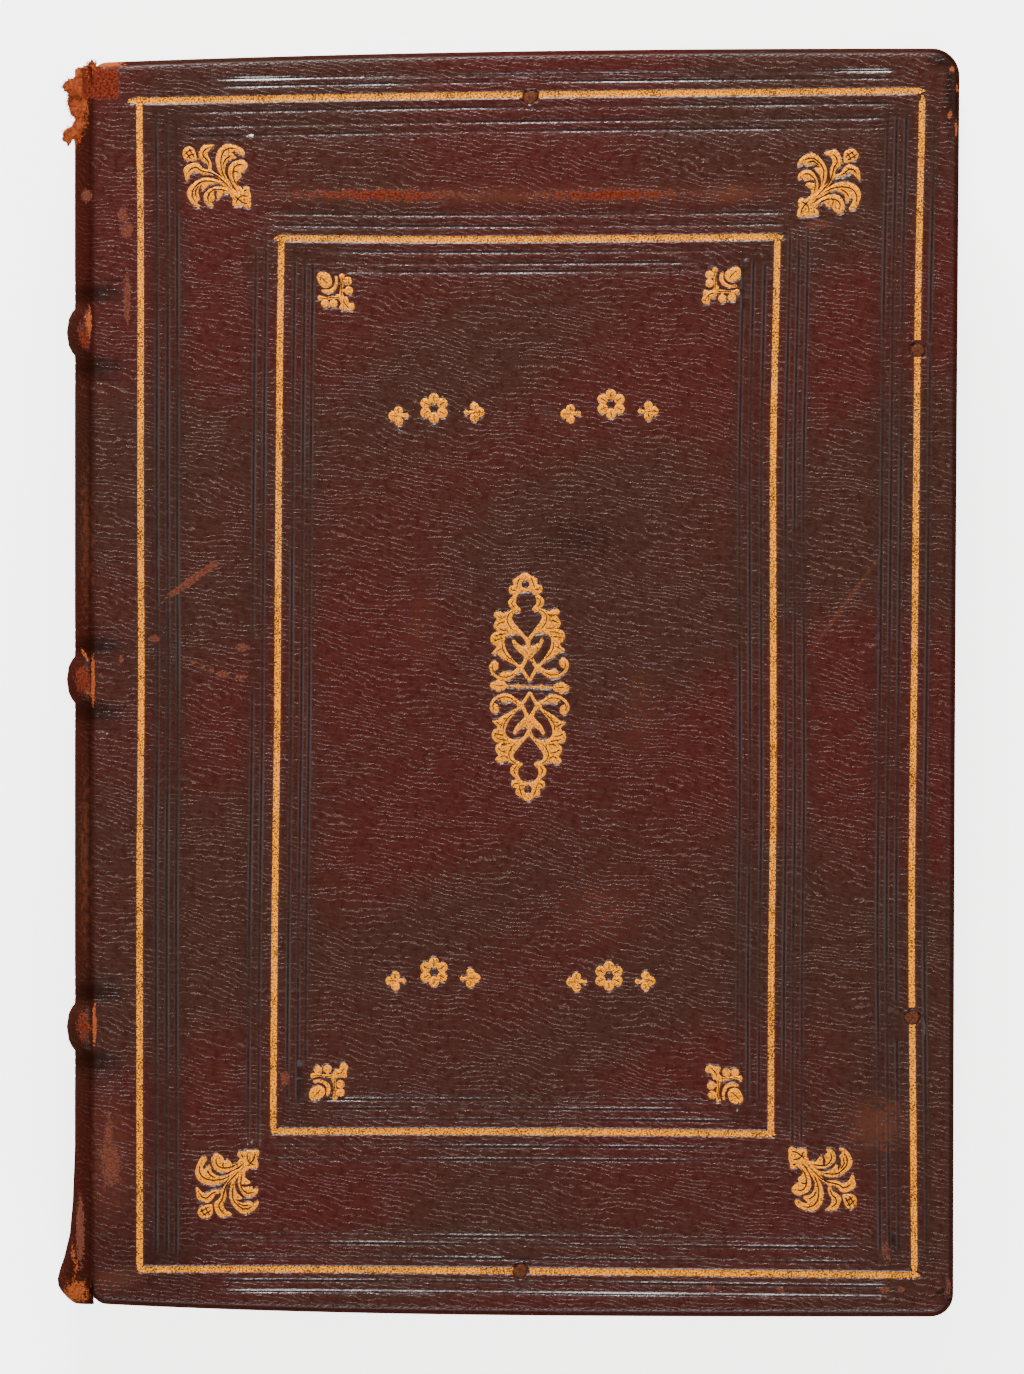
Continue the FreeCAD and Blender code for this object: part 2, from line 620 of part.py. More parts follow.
def endband_sewing(end):
    """The thread wound round one endband's core, as one sleeve."""
    radius, y = endband_axis(end)
    outer = Part.makeCircle(endband_outer, spine_point(radius, y), V(0, 0, 1))
    inner = Part.makeCircle(endband_radius, spine_point(radius, y), V(0, 0, 1))
    section = Part.Face(Part.Wire([outer])).cut(Part.Face(Part.Wire([inner])))
    return spun(section.Faces[0], text_half_angle)


def text_block():
    """The sewn sections: a rounded spine, a hollow fore-edge, and grooves for the kettle stitches."""
    low, high = middle_z - text_thickness / 2, text_top
    back_x = spine_centre_x - text_radius * math.cos(text_half_angle)
    a, b = V(back_x, -text_head_y, low), V(text_fore_x, -text_head_y, low)
    c, d = V(text_fore_x, -text_head_y, high), V(back_x, -text_head_y, high)
    fore = Part.Arc(b, V(text_fore_x - fore_hollow, -text_head_y, middle_z), c).toShape()
    back = Part.Arc(d, V(spine_centre_x - text_radius, -text_head_y, middle_z), a).toShape()
    edges = [Part.LineSegment(a, b).toShape(), fore, Part.LineSegment(c, d).toShape(), back]
    block = Part.Face(Part.Wire(edges)).extrude(V(0, 2 * text_head_y, 0))
    return block.cut([kettle_stitch(1), kettle_stitch(-1)])


def front_endpaper():
    """The free leaf between the text and the front cover."""
    start = spine_x + endpaper_spine_setback
    return Part.makeBox(text_fore_x - start, 2 * text_head_y, paper, V(start, -text_head_y, text_top))


def spine_outer_edges():
    """The outside of the spine leather's section, from the head down to the flared tail cap."""
    r = spine_radius
    head_y = cover_height / 2 - head_slant
    edges = []
    at = spine_point(r, head_y)
    for y in reversed(band_places):
        upper, lower = spine_point(r, y + band_width / 2), spine_point(r, y - band_width / 2)
        edges.append(Part.LineSegment(at, upper).toShape())
        edges.append(Part.Arc(upper, spine_point(r + band_height, y), lower).toShape())
        at = lower
    flare_y = tail_end_y + flare_length
    brim = spine_point(r + flare_out, tail_end_y + flare_brim_height)
    edges.append(Part.LineSegment(at, spine_point(r, flare_y)).toShape())
    bend = spine_point(r + flare_out * flare_bend_share, tail_end_y + flare_length / 2)
    edges.append(Part.Arc(spine_point(r, flare_y), bend, brim).toShape())
    lip = spine_point(r + flare_out * flare_lip_share, tail_end_y + flare_lip_height)
    foot = spine_point(r + flare_out * flare_foot_share, tail_end_y)
    edges.append(Part.Arc(brim, lip, foot).toShape())
    return edges


def spine_inner_edges():
    """The inside of the spine leather's section, from the tail cap's lip back up to the head."""
    r = spine_radius - spine_leather
    lip_r = text_radius - endband_from_spine - cap_lip
    points = [
        (spine_radius + flare_out * flare_foot_share, tail_end_y),
        (lip_r, tail_end_y),
        (lip_r, cap_inside_y),
        (r + flare_out * flare_foot_share, cap_inside_y),
        (r + flare_out, cap_inside_y + flare_fold_height),
        (r + flare_out * flare_bend_share, tail_end_y + flare_length / 2),
        (r, tail_end_y + flare_length),
    ]
    half = support_width / 2 + thread_wrap + band_play
    raised = r + band_height - band_thinning
    shoulder = raised - band_shoulder
    for y in band_places:
        low, high = y - half, y + half
        points += [(r, low - band_foot), (shoulder, low), (raised, low + band_slope)]
        points += [(raised, high - band_slope), (shoulder, high), (r, high + band_foot)]
    head_y = cover_height / 2 - head_slant
    points += [(r, head_y), (spine_radius, head_y)]
    made = [spine_point(radius, y) for radius, y in points]
    return [Part.LineSegment(a, b).toShape() for a, b in zip(made, made[1:])]


def tear_cutter():
    """What the torn head has lost: everything above a ragged line across the spine."""
    head_y = cover_height / 2 - head_slant
    step = book_thickness / tear_teeth
    line = []
    for i in range(tear_teeth + 1):
        deep = tear_depth if i % 2 else tear_depth * tear_shallow_share
        wander = 1 + tear_wander_share * (math.cos(tear_wander_turn * i) - 1)
        line.append((i * step, head_y - deep * wander))
    x = spine_start_x + trim_block / 2
    points = [V(x, y, z) for z, y in line]
    points += [V(x, head_y + past, book_thickness), V(x, head_y + past, 0)]
    return Part.Face(Part.makePolygon(points + points[:1])).extrude(V(-2 * trim_block, 0, 0))


def torn_flakes():
    """Shreds of leather that stand out where the head cap has torn away from the front joint."""
    head_y = cover_height / 2 - head_slant
    x = spine_start_x
    upper = [(x + 0.6, -3.0), (x - 1.2, -6.6), (x - 3.1, -4.0), (x - 4.6, -2.2), (x - 4.1, -0.6),
             (x - 1.6, -0.2)]
    lower = [(x - 0.4, -7.0), (x - 1.3, -9.6), (x - 3.7, -12.6), (x - 4.8, -11.4), (x - 3.2, -8.8),
             (x - 2.6, -5.0)]
    z = book_thickness - flake_drop - flake_thickness
    made = []
    for outline in (upper, lower):
        face = polygon([(px, head_y + py) for px, py in outline])
        face.translate(V(0, 0, z))
        made.append(face.extrude(V(0, 0, flake_thickness)))
    return made


def spine_rule_rings():
    """Ruled grooves that run round the spine on both sides of each band."""
    made = []
    for y in band_places:
        for offset in band_rule_offsets:
            for side in (-1, 1):
                low = y + side * offset - rule_width / 2
                section = spine_rect(spine_radius - rule_depth, spine_radius + past, low, low + rule_width)
                made.append(spun(section, spine_half_angle + past / spine_radius))
    return made


def spine_leather_piece():
    """The goatskin over the spine: three raised bands, a torn head and a flared tail cap."""
    section = Part.Face(Part.Wire(spine_outer_edges() + spine_inner_edges()))
    skin = spun(section, spine_half_angle)
    block = trim_block
    length = cover_height + block
    side_of = V(spine_start_x, -length / 2, leather_under - joint_gap)
    over = V(spine_start_x - block, -length / 2, book_thickness - spine_level_drop)
    joint = Part.makeBox(block, length, block, side_of)
    above = Part.makeBox(2 * block, length, block, over)
    cap_end = Part.makeBox(block, flare_length, block, V(spine_start_x, tail_end_y - past, text_top))
    front = [joint, above, cap_end]
    back = [shape.mirror(V(0, 0, middle_z), V(0, 0, 1)) for shape in front]
    skin = skin.cut(front + back + [tear_cutter()] + spine_rule_rings())
    return skin.fuse(torn_flakes()).removeSplitter()


def front_half():
    """Every piece of the front cover by its node's name, without the side."""
    shallow = ornaments(gold)
    deep = ornaments(gilt_depth + past)
    bed_low = book_thickness - gilt_depth
    pieces = {"board": front_board(), "leather": front_leather(deep), "pastedown": pastedown()}
    pieces["endpaper"] = front_endpaper()
    for i, y in enumerate(band_places):
        pieces[f"band_slip_{i + 1}"] = slip_blank(y, 0)
    for name, (x, y) in tie_places().items():
        pieces[f"tie_stub_{name}"] = tie_stub(x, y)
    pieces.update(gilt_frames())
    for name, shapes in shallow.items():
        pieces[name] = lifted(shapes, bed_low)
    return pieces


def spine_and_text():
    """Every piece of the book's middle by its node's name."""
    pieces = {"text_block": text_block(), "leather_spine": spine_leather_piece()}
    for i, y in enumerate(band_places):
        pieces[f"sewing_support_{i + 1}"] = support(y)
        pieces[f"sewing_thread_{i + 1}"] = sewing_wrap(y)
    for i, patch in enumerate(lining_patches()):
        pieces[f"spine_lining_{i + 1}"] = patch
    for name, end in (("head", 1), ("tail", -1)):
        pieces[f"{name}band_core"] = endband_core(end)
        pieces[f"{name}band_sewing"] = endband_sewing(end)
        pieces[f"kettle_stitch_{name}"] = kettle_stitch(end)
    return pieces


def main():
    """Builds every piece and writes it to its STEP file."""
    os.makedirs("parts", exist_ok=True)
    pieces = spine_and_text()
    for name, shape in front_half().items():
        pieces[f"{name}_front"] = shape
        pieces[f"{name}_back"] = shape.mirror(V(0, 0, middle_z), V(0, 0, 1))
    for name, shape in pieces.items():
        if not shape.isValid():
            print("not valid:", name)
        shape.exportStep(f"parts/{name}.step")
        print(f"{name}: {len(shape.Solids)} solids, {len(shape.Faces)} faces, {shape.Volume:.1f} mm3")


main()
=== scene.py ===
"""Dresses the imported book: a goatskin binding with gilt and blind tooling, worn at the spine.

Lengths are in millimetres in the part's own frame until a mesh is made. The front cover is modelled, and
the back cover is its mirror image across the plane halfway up the book, without the front's own wear.
"""

import logging
import math
import random
from dataclasses import dataclass, field
from enum import Enum

import bpy
import numpy as np
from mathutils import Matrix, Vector
from mathutils.geometry import delaunay_2d_cdt


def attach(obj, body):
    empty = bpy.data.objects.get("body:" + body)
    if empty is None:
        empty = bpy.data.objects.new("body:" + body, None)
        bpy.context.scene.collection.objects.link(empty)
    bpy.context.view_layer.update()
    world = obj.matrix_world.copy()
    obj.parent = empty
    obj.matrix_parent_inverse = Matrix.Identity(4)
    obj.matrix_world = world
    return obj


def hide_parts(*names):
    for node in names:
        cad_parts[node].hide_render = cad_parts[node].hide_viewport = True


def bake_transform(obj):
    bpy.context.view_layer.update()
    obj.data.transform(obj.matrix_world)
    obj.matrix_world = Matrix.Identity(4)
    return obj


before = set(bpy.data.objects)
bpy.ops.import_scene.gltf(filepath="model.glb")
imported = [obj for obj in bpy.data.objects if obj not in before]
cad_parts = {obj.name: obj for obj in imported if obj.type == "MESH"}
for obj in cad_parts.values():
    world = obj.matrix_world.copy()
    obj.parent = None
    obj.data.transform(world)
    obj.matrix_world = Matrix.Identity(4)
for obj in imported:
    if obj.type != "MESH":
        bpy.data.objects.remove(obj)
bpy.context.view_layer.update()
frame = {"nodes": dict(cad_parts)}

log = logging.getLogger("book")

MM = 0.001
Point = tuple[float, float]
Points = list[Point]
Triple = tuple[float, float, float]
Colour = Triple
Array = np.ndarray
Piece = bpy.types.Object
Socket = bpy.types.NodeSocket


class Slot(Enum):
    """The record's material slots."""

    GOATSKIN = "goatskin"
    SPINE = "spine_goatskin"
    GILDING = "gilding"
    PASTEBOARD = "pasteboard"
    LEAVES = "leaves"
    ENDPAPERS = "endpapers"
    TAWED = "tawed_skin"
    PARCHMENT = "parchment"
    THREAD = "linen_thread"
    TIES = "tie_remains"


class Side(Enum):
    """The two covers, with the sign of their outer face's height over the book's middle."""

    FRONT = 1
    BACK = -1

    @property
    def suffix(self) -> str:
        """What the names of this cover's nodes end with."""
        return "front" if self is Side.FRONT else "back"

    @property
    def body(self) -> str:
        """The CAD body that this cover's pieces move with."""
        return f"{self.suffix}_cover"


class Run(Enum):
    """Which way a tooled line runs over the cover."""

    UP = "up"
    ACROSS = "across"


@dataclass(frozen=True)
class BookSize:
    """The sizes of the CAD part, but for the two corner radii at the fore-edge: those follow the photo."""

    width: float = 144.8
    height: float = 211.6
    head_slant: float = 2.4
    tail_slant: float = 2.2
    fore_slant: float = 1.1
    fore_radius: float = 4.7
    tail_radius: float = 3.8
    spine_radius: float = 2.5
    thickness: float = 33.0
    joint: float = 0.3
    spine_round: float = 3.0
    spine_leather: float = 1.0
    lining: float = 0.3
    band_height: float = 1.35
    band_width: float = 7.3
    text_half: float = 11.9
    endband_y: float = 102.2
    endband_radius: float = 0.75

    @property
    def spine_x(self) -> float:
        """Where the covers end at the spine."""
        return -self.width / 2

    @property
    def fore_x(self) -> float:
        """Where the covers end at the fore-edge, at the head."""
        return self.width / 2

    @property
    def middle(self) -> float:
        """The height of the plane halfway up the book."""
        return self.thickness / 2

    @property
    def arc_radius(self) -> float:
        """The radius of the spine's round."""
        half = self.middle - self.joint
        return (half**2 + self.spine_round**2) / (2 * self.spine_round)

    @property
    def arc_centre(self) -> float:
        """Where the axis of the spine's round lies along X."""
        return self.spine_x - self.joint - self.spine_round + self.arc_radius

    @property
    def back_radius(self) -> float:
        """The radius of the leaves' rounded back, under the leather and the lining."""
        return self.arc_radius - self.spine_leather - self.lining

    def head_y(self, x: Array | float) -> Array | float:
        """The cover's head edge above a place along X: it falls away towards the spine."""
        share = np.clip((self.fore_x - np.asarray(x, float)) / self.width, 0, None)
        return self.height / 2 - self.head_slant * share**2.4

    def tail_y(self, x: Array | float) -> Array | float:
        """The cover's tail edge below a place along X: it rises towards the spine."""
        share = np.clip((self.fore_x - np.asarray(x, float)) / self.width, 0, None)
        return -self.height / 2 + self.tail_slant * share**3.5

    def fore_edge(self, y: Array | float) -> Array | float:
        """The cover's fore-edge beside a place along Y: slanting, and bowed a little inwards."""
        share = 0.5 - np.asarray(y, float) / self.height
        return self.fore_x - self.fore_slant * (1.7 * share - 0.7 * share**2)

    def squared(self, x: Array, y: Array) -> tuple[Array, Array]:
        """Turns a place on the slanted cover into one on a true rectangle from its tail corner."""
        s = (x - self.spine_x) / (self.fore_edge(y) - self.spine_x) * self.width
        t = (y - self.tail_y(x)) / (self.head_y(x) - self.tail_y(x)) * self.height
        return s, t

    def slanted(self, s: Array, t: Array) -> tuple[Array, Array]:
        """Turns a place on the true rectangle back into one on the slanted cover."""
        x = self.spine_x + s
        y = t - self.height / 2
        for _ in range(4):
            y = self.tail_y(x) + t / self.height * (self.head_y(x) - self.tail_y(x))
            x = self.spine_x + s / self.width * (self.fore_edge(y) - self.spine_x)
        return x, y


SIZE = BookSize()
LEATHER_TOP = SIZE.thickness
# The raised bands' middles, how far from each the blind rules beside it lie, and where those end on the cover.
BANDS = (-57.7, 0.5, 58.7)
BAND_RULES = (5.1, 6.5, 8.3)
RULES_END = -67.3
BAND_LINES = tuple((band + side * rule, int(rule * 10)) for band in BANDS for rule in BAND_RULES for side in (-1, 1))


def wave(t: Array, seed: int, pitch: float) -> Array:
    """A smooth random wave between about -1 and 1 over a length.

    Args:
        t: Places along the length.
        seed: Which wave it is.
        pitch: About how long one swing is.

    Returns:
        The wave's value at each place.
    """
    rng = random.Random(seed)
    made = np.zeros_like(np.asarray(t, float))
    for k in range(5):
        turn = 2 * math.pi * (0.6 + 0.5 * k) / pitch
        made = made + np.sin(np.asarray(t, float) * turn * rng.uniform(0.8, 1.2) + rng.uniform(0, 6.28)) / (1 + k)
    return made / 1.8


def clouds(x: Array, y: Array, seed: int, pitch: float) -> Array:
    """A smooth random field between about 0 and 1 over the cover.

    Args:
        x: Places along X.
        y: Places along Y.
        seed: Which field it is.
        pitch: About how wide one cloud is.

    Returns:
        The field's value at each place.
    """
    rng = random.Random(seed)
    made = np.zeros_like(x)
    for _ in range(14):
        turn = rng.uniform(0, 2 * math.pi)
        pace = math.pi / (pitch * rng.uniform(0.5, 1.7))
        made += np.sin((x * math.cos(turn) + y * math.sin(turn)) * pace + rng.uniform(0, 2 * math.pi))
    return 0.5 + made / 10


def smooth(points: Points, steps: int = 4, closed: bool = True) -> Points:
    """Rounds a drawn outline with a Catmull-Rom curve through its points.

    Args:
        points: The drawn points.
        steps: How many points each stretch becomes.
        closed: Whether the outline returns to its start.

    Returns:
        The rounded outline.
    """
    n = len(points)
    p = np.array(points, float)
    made: Points = []
    for i in range(n if closed else n - 1):
        if closed:
            a, b, c, d = p[i - 1], p[i], p[(i + 1) % n], p[(i + 2) % n]
        else:
            a, b, c, d = p[max(i - 1, 0)], p[i], p[i + 1], p[min(i + 2, n - 1)]
        for k in range(steps):
            t = k / steps
            q = 0.5 * (2 * b + (c - a) * t + (2 * a - 5 * b + 4 * c - d) * t * t + (3 * b - a - 3 * c + d) * t**3)
            made.append((float(q[0]), float(q[1])))
    if not closed:
        made.append(tuple(p[-1]))
    return made


def circle(x: float, y: float, radius: float, sides: int = 14) -> Points:
    """The points of a circle."""
    return [
        (x + radius * math.cos(2 * math.pi * i / sides), y + radius * math.sin(2 * math.pi * i / sides))
        for i in range(sides)
    ]


def ribbon(points: Points, width: float) -> Points:
    """A thin outline round an open line, pointed at both ends.

    Args:
        points: The line's points.
        width: Its greatest width.

    Returns:
        The closed outline.
    """
    p = np.array(smooth(points, 4, closed=False))
    along = np.gradient(p, axis=0)
    along /= np.linalg.norm(along, axis=1)[:, None] + 1e-9
    across = np.stack([-along[:, 1], along[:, 0]], 1)
    share = np.linspace(0, 1, len(p))
    half = width / 2 * np.clip(np.sin(math.pi * np.clip(share, 0.04, 0.96)) * 2.2, 0.25, 1)[:, None]
    made = np.vstack([p + across * half, (p - across * half)[::-1]])
    return [(float(x), float(y)) for x, y in made]


def inside(points: Array, outline: Points) -> Array:
    """Whether each point lies inside an outline."""
    poly = np.array(outline, float)
    x, y = points[:, 0], points[:, 1]
    found = np.zeros(len(points), bool)
    for (x0, y0), (x1, y1) in zip(poly, np.roll(poly, -1, axis=0)):
        if y0 == y1:
            continue
        crosses = (y0 > y) != (y1 > y)
        found ^= crosses & (x < (x1 - x0) * (y - y0) / (y1 - y0) + x0)
    return found


def distance(points: Array, outline: Points) -> Array:
    """How far each point lies from a closed outline's nearest side."""
    poly = np.array(outline, float)
    best = np.full(len(points), 1e9)
    for a, b in zip(poly, np.roll(poly, -1, axis=0)):
        side = b - a
        length = float(side @ side) + 1e-12
        t = np.clip(((points - a) @ side) / length, 0, 1)
        best = np.minimum(best, np.hypot(*(points - a - t[:, None] * side).T))
    return best


@dataclass(frozen=True)
class Tool:
    """A brass stamp's face: solid shapes, the holes through them, and the fine lines cut into them."""

    solids: tuple[Points, ...]
    holes: tuple[Points, ...] = ()
    veins: tuple[Points, ...] = ()

    def depth_from_rim(self, points: Array) -> Array:
        """The signed distance of points from the tool's outline, above zero inside it."""
        best = np.full(len(points), -1e9)
        for outline in self.solids:
            far = distance(points, outline)
            best = np.maximum(best, np.where(inside(points, outline), far, -far))
        for outline in self.holes:
            far = distance(points, outline)
            best = np.minimum(best, np.where(inside(points, outline), -far, far))
        return best

    def triangles(self, spacing: float) -> tuple[Array, list[tuple[int, int, int]]]:
        """Fills the tool's face with triangles.

        Args:
            spacing: How far apart the points inside it lie.

        Returns:
            The flat points and the triangles between them.
        """
        loops = [*self.solids, *self.holes, *self.veins]
        coords: list[Vector] = []
        edges: list[tuple[int, int]] = []
        for loop in loops:
            first = len(coords)
            coords += [Vector(p) for p in loop]
            edges += [(first + i, first + (i + 1) % len(loop)) for i in range(len(loop))]
        every = np.array([p for loop in loops for p in loop])
        low, high = every.min(0), every.max(0)
        xs, ys = np.meshgrid(np.arange(low[0], high[0], spacing), np.arange(low[1], high[1], spacing))
        xs = xs + (np.arange(xs.shape[0]) % 2)[:, None] * spacing / 2
        grid = np.stack([xs.ravel(), ys.ravel()], 1)
        grid = grid[self.depth_from_rim(grid) > spacing * 0.45]
        coords += [Vector(p) for p in grid]
        points, _, faces, *_ = delaunay_2d_cdt(coords, edges, [], 0, 1e-5)
        flat = np.array([(p[0], p[1]) for p in points])
        tris = np.array([f[:3] for f in faces])
        middles = flat[tris].mean(1)
        kept = np.zeros(len(tris), bool)
        for outline in self.solids:
            kept |= inside(middles, outline)
        for outline in (*self.holes, *self.veins):
            kept &= ~inside(middles, outline)
        return flat, [tuple(int(i) for i in t) for t in tris[kept]]


@dataclass(frozen=True)
class Stamp:
    """One impression of a tool on the cover."""

    tool: Tool
    x: float
    y: float
    turn: float = 0.0

    def local(self, points: Array) -> Array:
        """Turns places on the cover into places on the tool's face."""
        c, s = math.cos(math.radians(self.turn)), math.sin(math.radians(self.turn))
        moved = points - np.array([self.x, self.y])
        return moved @ np.array([[c, -s], [s, c]])

    def world(self, points: Array) -> Array:
        """Turns places on the tool's face into places on the cover."""
        c, s = math.cos(math.radians(self.turn)), math.sin(math.radians(self.turn))
        return points @ np.array([[c, s], [-s, c]]) + np.array([self.x, self.y])


class ToolBox:
    """The stamps that the binder used, drawn to the size of their marks."""

    def corner_fleuron(self) -> Tool:
        """A curling plant with a flower and a berry: its foot to the lower right."""
        berry = [
            (-5.65, 3.9), (-5.3, 4.6), (-4.7, 4.9), (-4, 4.7), (-3.6, 4.1), (-3.35, 3.2), (-3.3, 2.55),
            (-4.2, 2.4), (-5, 2.5), (-5.5, 3),
        ]
        flower = [
            (1.2, -1.5), (0.2, -0.4), (-0.6, 0.2), (-1.9, 0.1), (-2.6, 0.3), (-3.3, 0.6), (-4, 0.4), (-4.45, 0),
            (-4.6, -0.5), (-4.85, -0.8), (-5.15, -0.7), (-5.3, 0), (-5.5, 0.7), (-5.3, 1.4), (-4.3, 2),
            (-3.3, 2.15), (-2.8, 1.9), (-2.3, 1.3), (-1.6, 0.95), (-1.4, 1.3), (-1.6, 1.9), (-2.3, 2.3),
            (-2.9, 2.9), (-3.1, 3.5), (-2.8, 4.1), (-2.5, 4.8), (-1.9, 5.1), (-0.5, 5.2), (-0.4, 4.95),
            (-0.9, 4.5), (-1.4, 3.9), (-1.4, 3.2), (-1, 2.5), (-0.8, 1.7), (-0.85, 1), (-0.4, 0.6), (0.4, 0.05),
            (1.2, -0.6), (2.4, -1.8), (2.2, -2.4),
        ]
        big_left = [
            (2, -2.1), (0.8, -1), (0, -0.65), (-1, -0.4), (-2, -0.35), (-3, -0.7), (-3.9, -1.3), (-4.6, -2),
            (-4.95, -2.9), (-4.7, -3.8), (-4.2, -4.6), (-3.5, -5.15), (-2.8, -5.3), (-2.7, -5), (-3.2, -4.6),
            (-3, -4.2), (-2.75, -3.9), (-3, -3), (-2.95, -2.2), (-2.5, -1.4), (-2.5, -2.2), (-2.25, -2.55),
            (-1.9, -2.2), (-1.3, -1.65), (-0.4, -1.35), (0.6, -1.4), (1.6, -2),
        ]
        small_left = [
            (2.6, -2.4), (1.2, -1.9), (0.3, -1.8), (-0.6, -2), (-1.4, -2.4), (-2, -3), (-2.15, -3.8),
            (-1.8, -4.7), (-1.2, -5.15), (-0.6, -5.2), (-0.55, -4.9), (-0.8, -4.5), (-0.35, -4.2), (-0.25, -3.8),
            (-0.45, -3.2), (-0.4, -2.6), (-0.1, -2.35), (0.1, -2.7), (0, -3.2), (0.15, -3.8), (0.45, -3.9),
            (0.8, -3.5), (1.2, -3.05), (1.8, -3), (2.6, -3.2),
        ]
        foot = [
            (1.9, -1.4), (3.8, -3), (4.4, -2.2), (4.7, -1.8), (5.2, -1.75), (5.5, -2), (5.5, -2.6), (5.75, -3.4),
            (5.7, -4.2), (5.75, -5), (5.5, -5.4), (4.7, -5.25), (4.2, -5), (3.6, -5.2), (2.9, -5.15), (2.6, -4.7),
            (2.7, -3.9), (2.3, -3.3), (1.8, -2.2),
        ]
        right = [
            (4.6, -3), (4.2, -2.1), (3.5, -1.5), (3.4, -0.9), (3.8, -0.6), (4.2, -0.1), (4, 0.4), (4.6, 0.7),
            (5.1, 1.3), (5.2, 1.9), (4.8, 2.4), (4.2, 2.65), (3.4, 2.5), (2.7, 2.2), (2.2, 1.7), (1.95, 1),
            (2, 0.2), (2.25, -0.6), (2.65, -1.4), (3.2, -2.2), (3.9, -3.2),
        ]
        upper = [
            (1.7, -1.5), (0.9, -0.2), (0.3, 0.7), (0, 1.6), (-0.15, 2.6), (0, 3.5), (0.4, 4.4), (1.1, 5.05),
            (2, 5.3), (3, 5.1), (4, 4.7), (4.6, 4.1), (4.7, 3.5), (4.3, 3.3), (3.7, 3.6), (3, 4), (2.6, 3.8),
            (3.3, 3.1), (3, 2.7), (2.2, 2.6), (1.6, 1.9), (1.4, 1.2), (1.4, 0.5), (1.7, -0.2), (2.2, -1),
            (2.6, -2),
        ]
        ribs = [
            [(-3.5, -4.6), (-3.95, -3.6), (-4, -2.6), (-3.2, -1.55), (-2.2, -0.95), (-0.9, -0.95), (0.6, -1.25)],
            [(-3.4, -3.6), (-3.5, -2.6), (-2.9, -1.7)],
            [(-1.2, -4.6), (-1.45, -3.7), (-1.2, -3), (-0.4, -2.35), (0.8, -2.35), (2, -2.6)],
            [(3.6, 4.4), (2.4, 4.6), (1.3, 4.1), (0.8, 3), (0.75, 1.6), (1.1, 0.2), (1.7, -0.9)],
            [(2.4, 3.3), (1.6, 2.8), (1.1, 1.9)],
            [(4.6, 1.7), (3.6, 1.8), (2.9, 1.2), (2.75, 0.2), (3, -0.9), (3.7, -2)],
            [(3.7, 0.5), (3.1, 0.7), (2.6, 0.3)],
            [(-1.2, 4.75), (-2.1, 4.1), (-2.2, 3.3), (-1.5, 2.5), (-1.2, 1.6)],
            [(-4.9, 0.2), (-4.4, 1), (-3.4, 1.35), (-2.5, 0.8), (-1.2, 0.5), (0, 0), (1.4, -1.2), (2.8, -2.7)],
            [(3.2, -4.7), (3.6, -3.8), (4.3, -3.4), (5.1, -3.4)],
            [(3, -3.4), (4.2, -4.4), (5.2, -4.7)],
            [(4.5, -2.6), (5.1, -2.4)],
            [(-5.3, 3.5), (-4.5, 4.2), (-4, 4.2)], [(-5, 2.9), (-4.3, 3.4), (-3.7, 3.6)],
            [(-5.2, 4.1), (-4.7, 3.3), (-4.3, 2.7)], [(-4.6, 4.6), (-4.1, 3.7), (-3.7, 3)],
        ]
        drawn = (berry, flower, big_left, small_left, foot, right, upper)
        return Tool(tuple(smooth(p, 3) for p in drawn), veins=tuple(ribbon(p, 0.23) for p in ribs))

    def small_fleuron(self) -> Tool:
        """A small budded tool, its bud to the upper left."""
        bud = [
            (-3.1, 2.2), (-3, 2.9), (-2.4, 3.2), (-1.6, 3.2), (-1, 2.8), (-0.65, 2.1), (-0.6, 1.3), (-1, 0.75),
            (-1.7, 0.55), (-2.3, 0.8), (-2.7, 1.3),
        ]
        band = [
            (-2.3, 0), (-2.2, 0.35), (-1.3, 0.3), (-0.6, 0.55), (-0.2, 1.1), (-0.05, 1.8), (-0.1, 2.5),
            (0.3, 2.5), (0.4, 1.8), (0.35, 1), (-0.05, 0.2), (-0.6, -0.25), (-1.5, -0.35),
        ]
        arm = [
            (0.2, -1.1), (0.6, -0.5), (0.75, 0.3), (0.9, 1.2), (0.85, 2), (0.6, 2.7), (1, 3), (1.5, 2.8),
            (1.4, 2.2), (1.35, 1.5), (1.3, 0.9), (1.2, 0.2), (1.3, -0.6), (1.6, -1.2),
        ]
        root = [
            (0.2, -0.4), (1.2, -0.7), (1.9, -0.9), (2.2, -1.5), (2.2, -1.9), (2.9, -1.9), (3.2, -2.4), (3, -3),
            (2.4, -3.3), (1.7, -3), (1, -3.1), (0.6, -2.7), (0.9, -2), (0.6, -1.4), (0.1, -0.9),
        ]
        other = [(-y, -x) for x, y in reversed(arm)]
        lobes = [
            circle(2.05, 1.75, 0.72), circle(2.2, 0.15, 0.72), circle(-1.75, -2, 0.7), circle(-0.35, -2, 0.7),
        ]
        links = [
            [(1.1, 1.4), (2, 1.4), (2, 1.8), (1.1, 1.8)], [(1.1, -0.05), (2, -0.05), (2, 0.35), (1.1, 0.35)],
            [(-1.95, -2), (-1.55, -2), (-1.55, -1), (-1.95, -1)],
            [(-0.55, -2), (-0.15, -2), (-0.15, -1), (-0.55, -1)],
        ]
        ribs = [
            [(1.05, -0.8), (0.98, 0.4), (1.12, 1.8), (1, 2.6)],
            [(0.8, -1.1), (-0.4, -0.98), (-1.8, -1.12), (-2.6, -1)],
            [(1.3, -1.2), (1.5, -2), (2.3, -2.7)], [(-2.5, 2.5), (-1.8, 1.8), (-1.2, 1.3)],
        ]
        drawn = tuple(smooth(p, 3) for p in (bud, band, arm, root, other))
        return Tool(drawn + tuple(lobes + links), veins=tuple(ribbon(p, 0.16) for p in ribs))

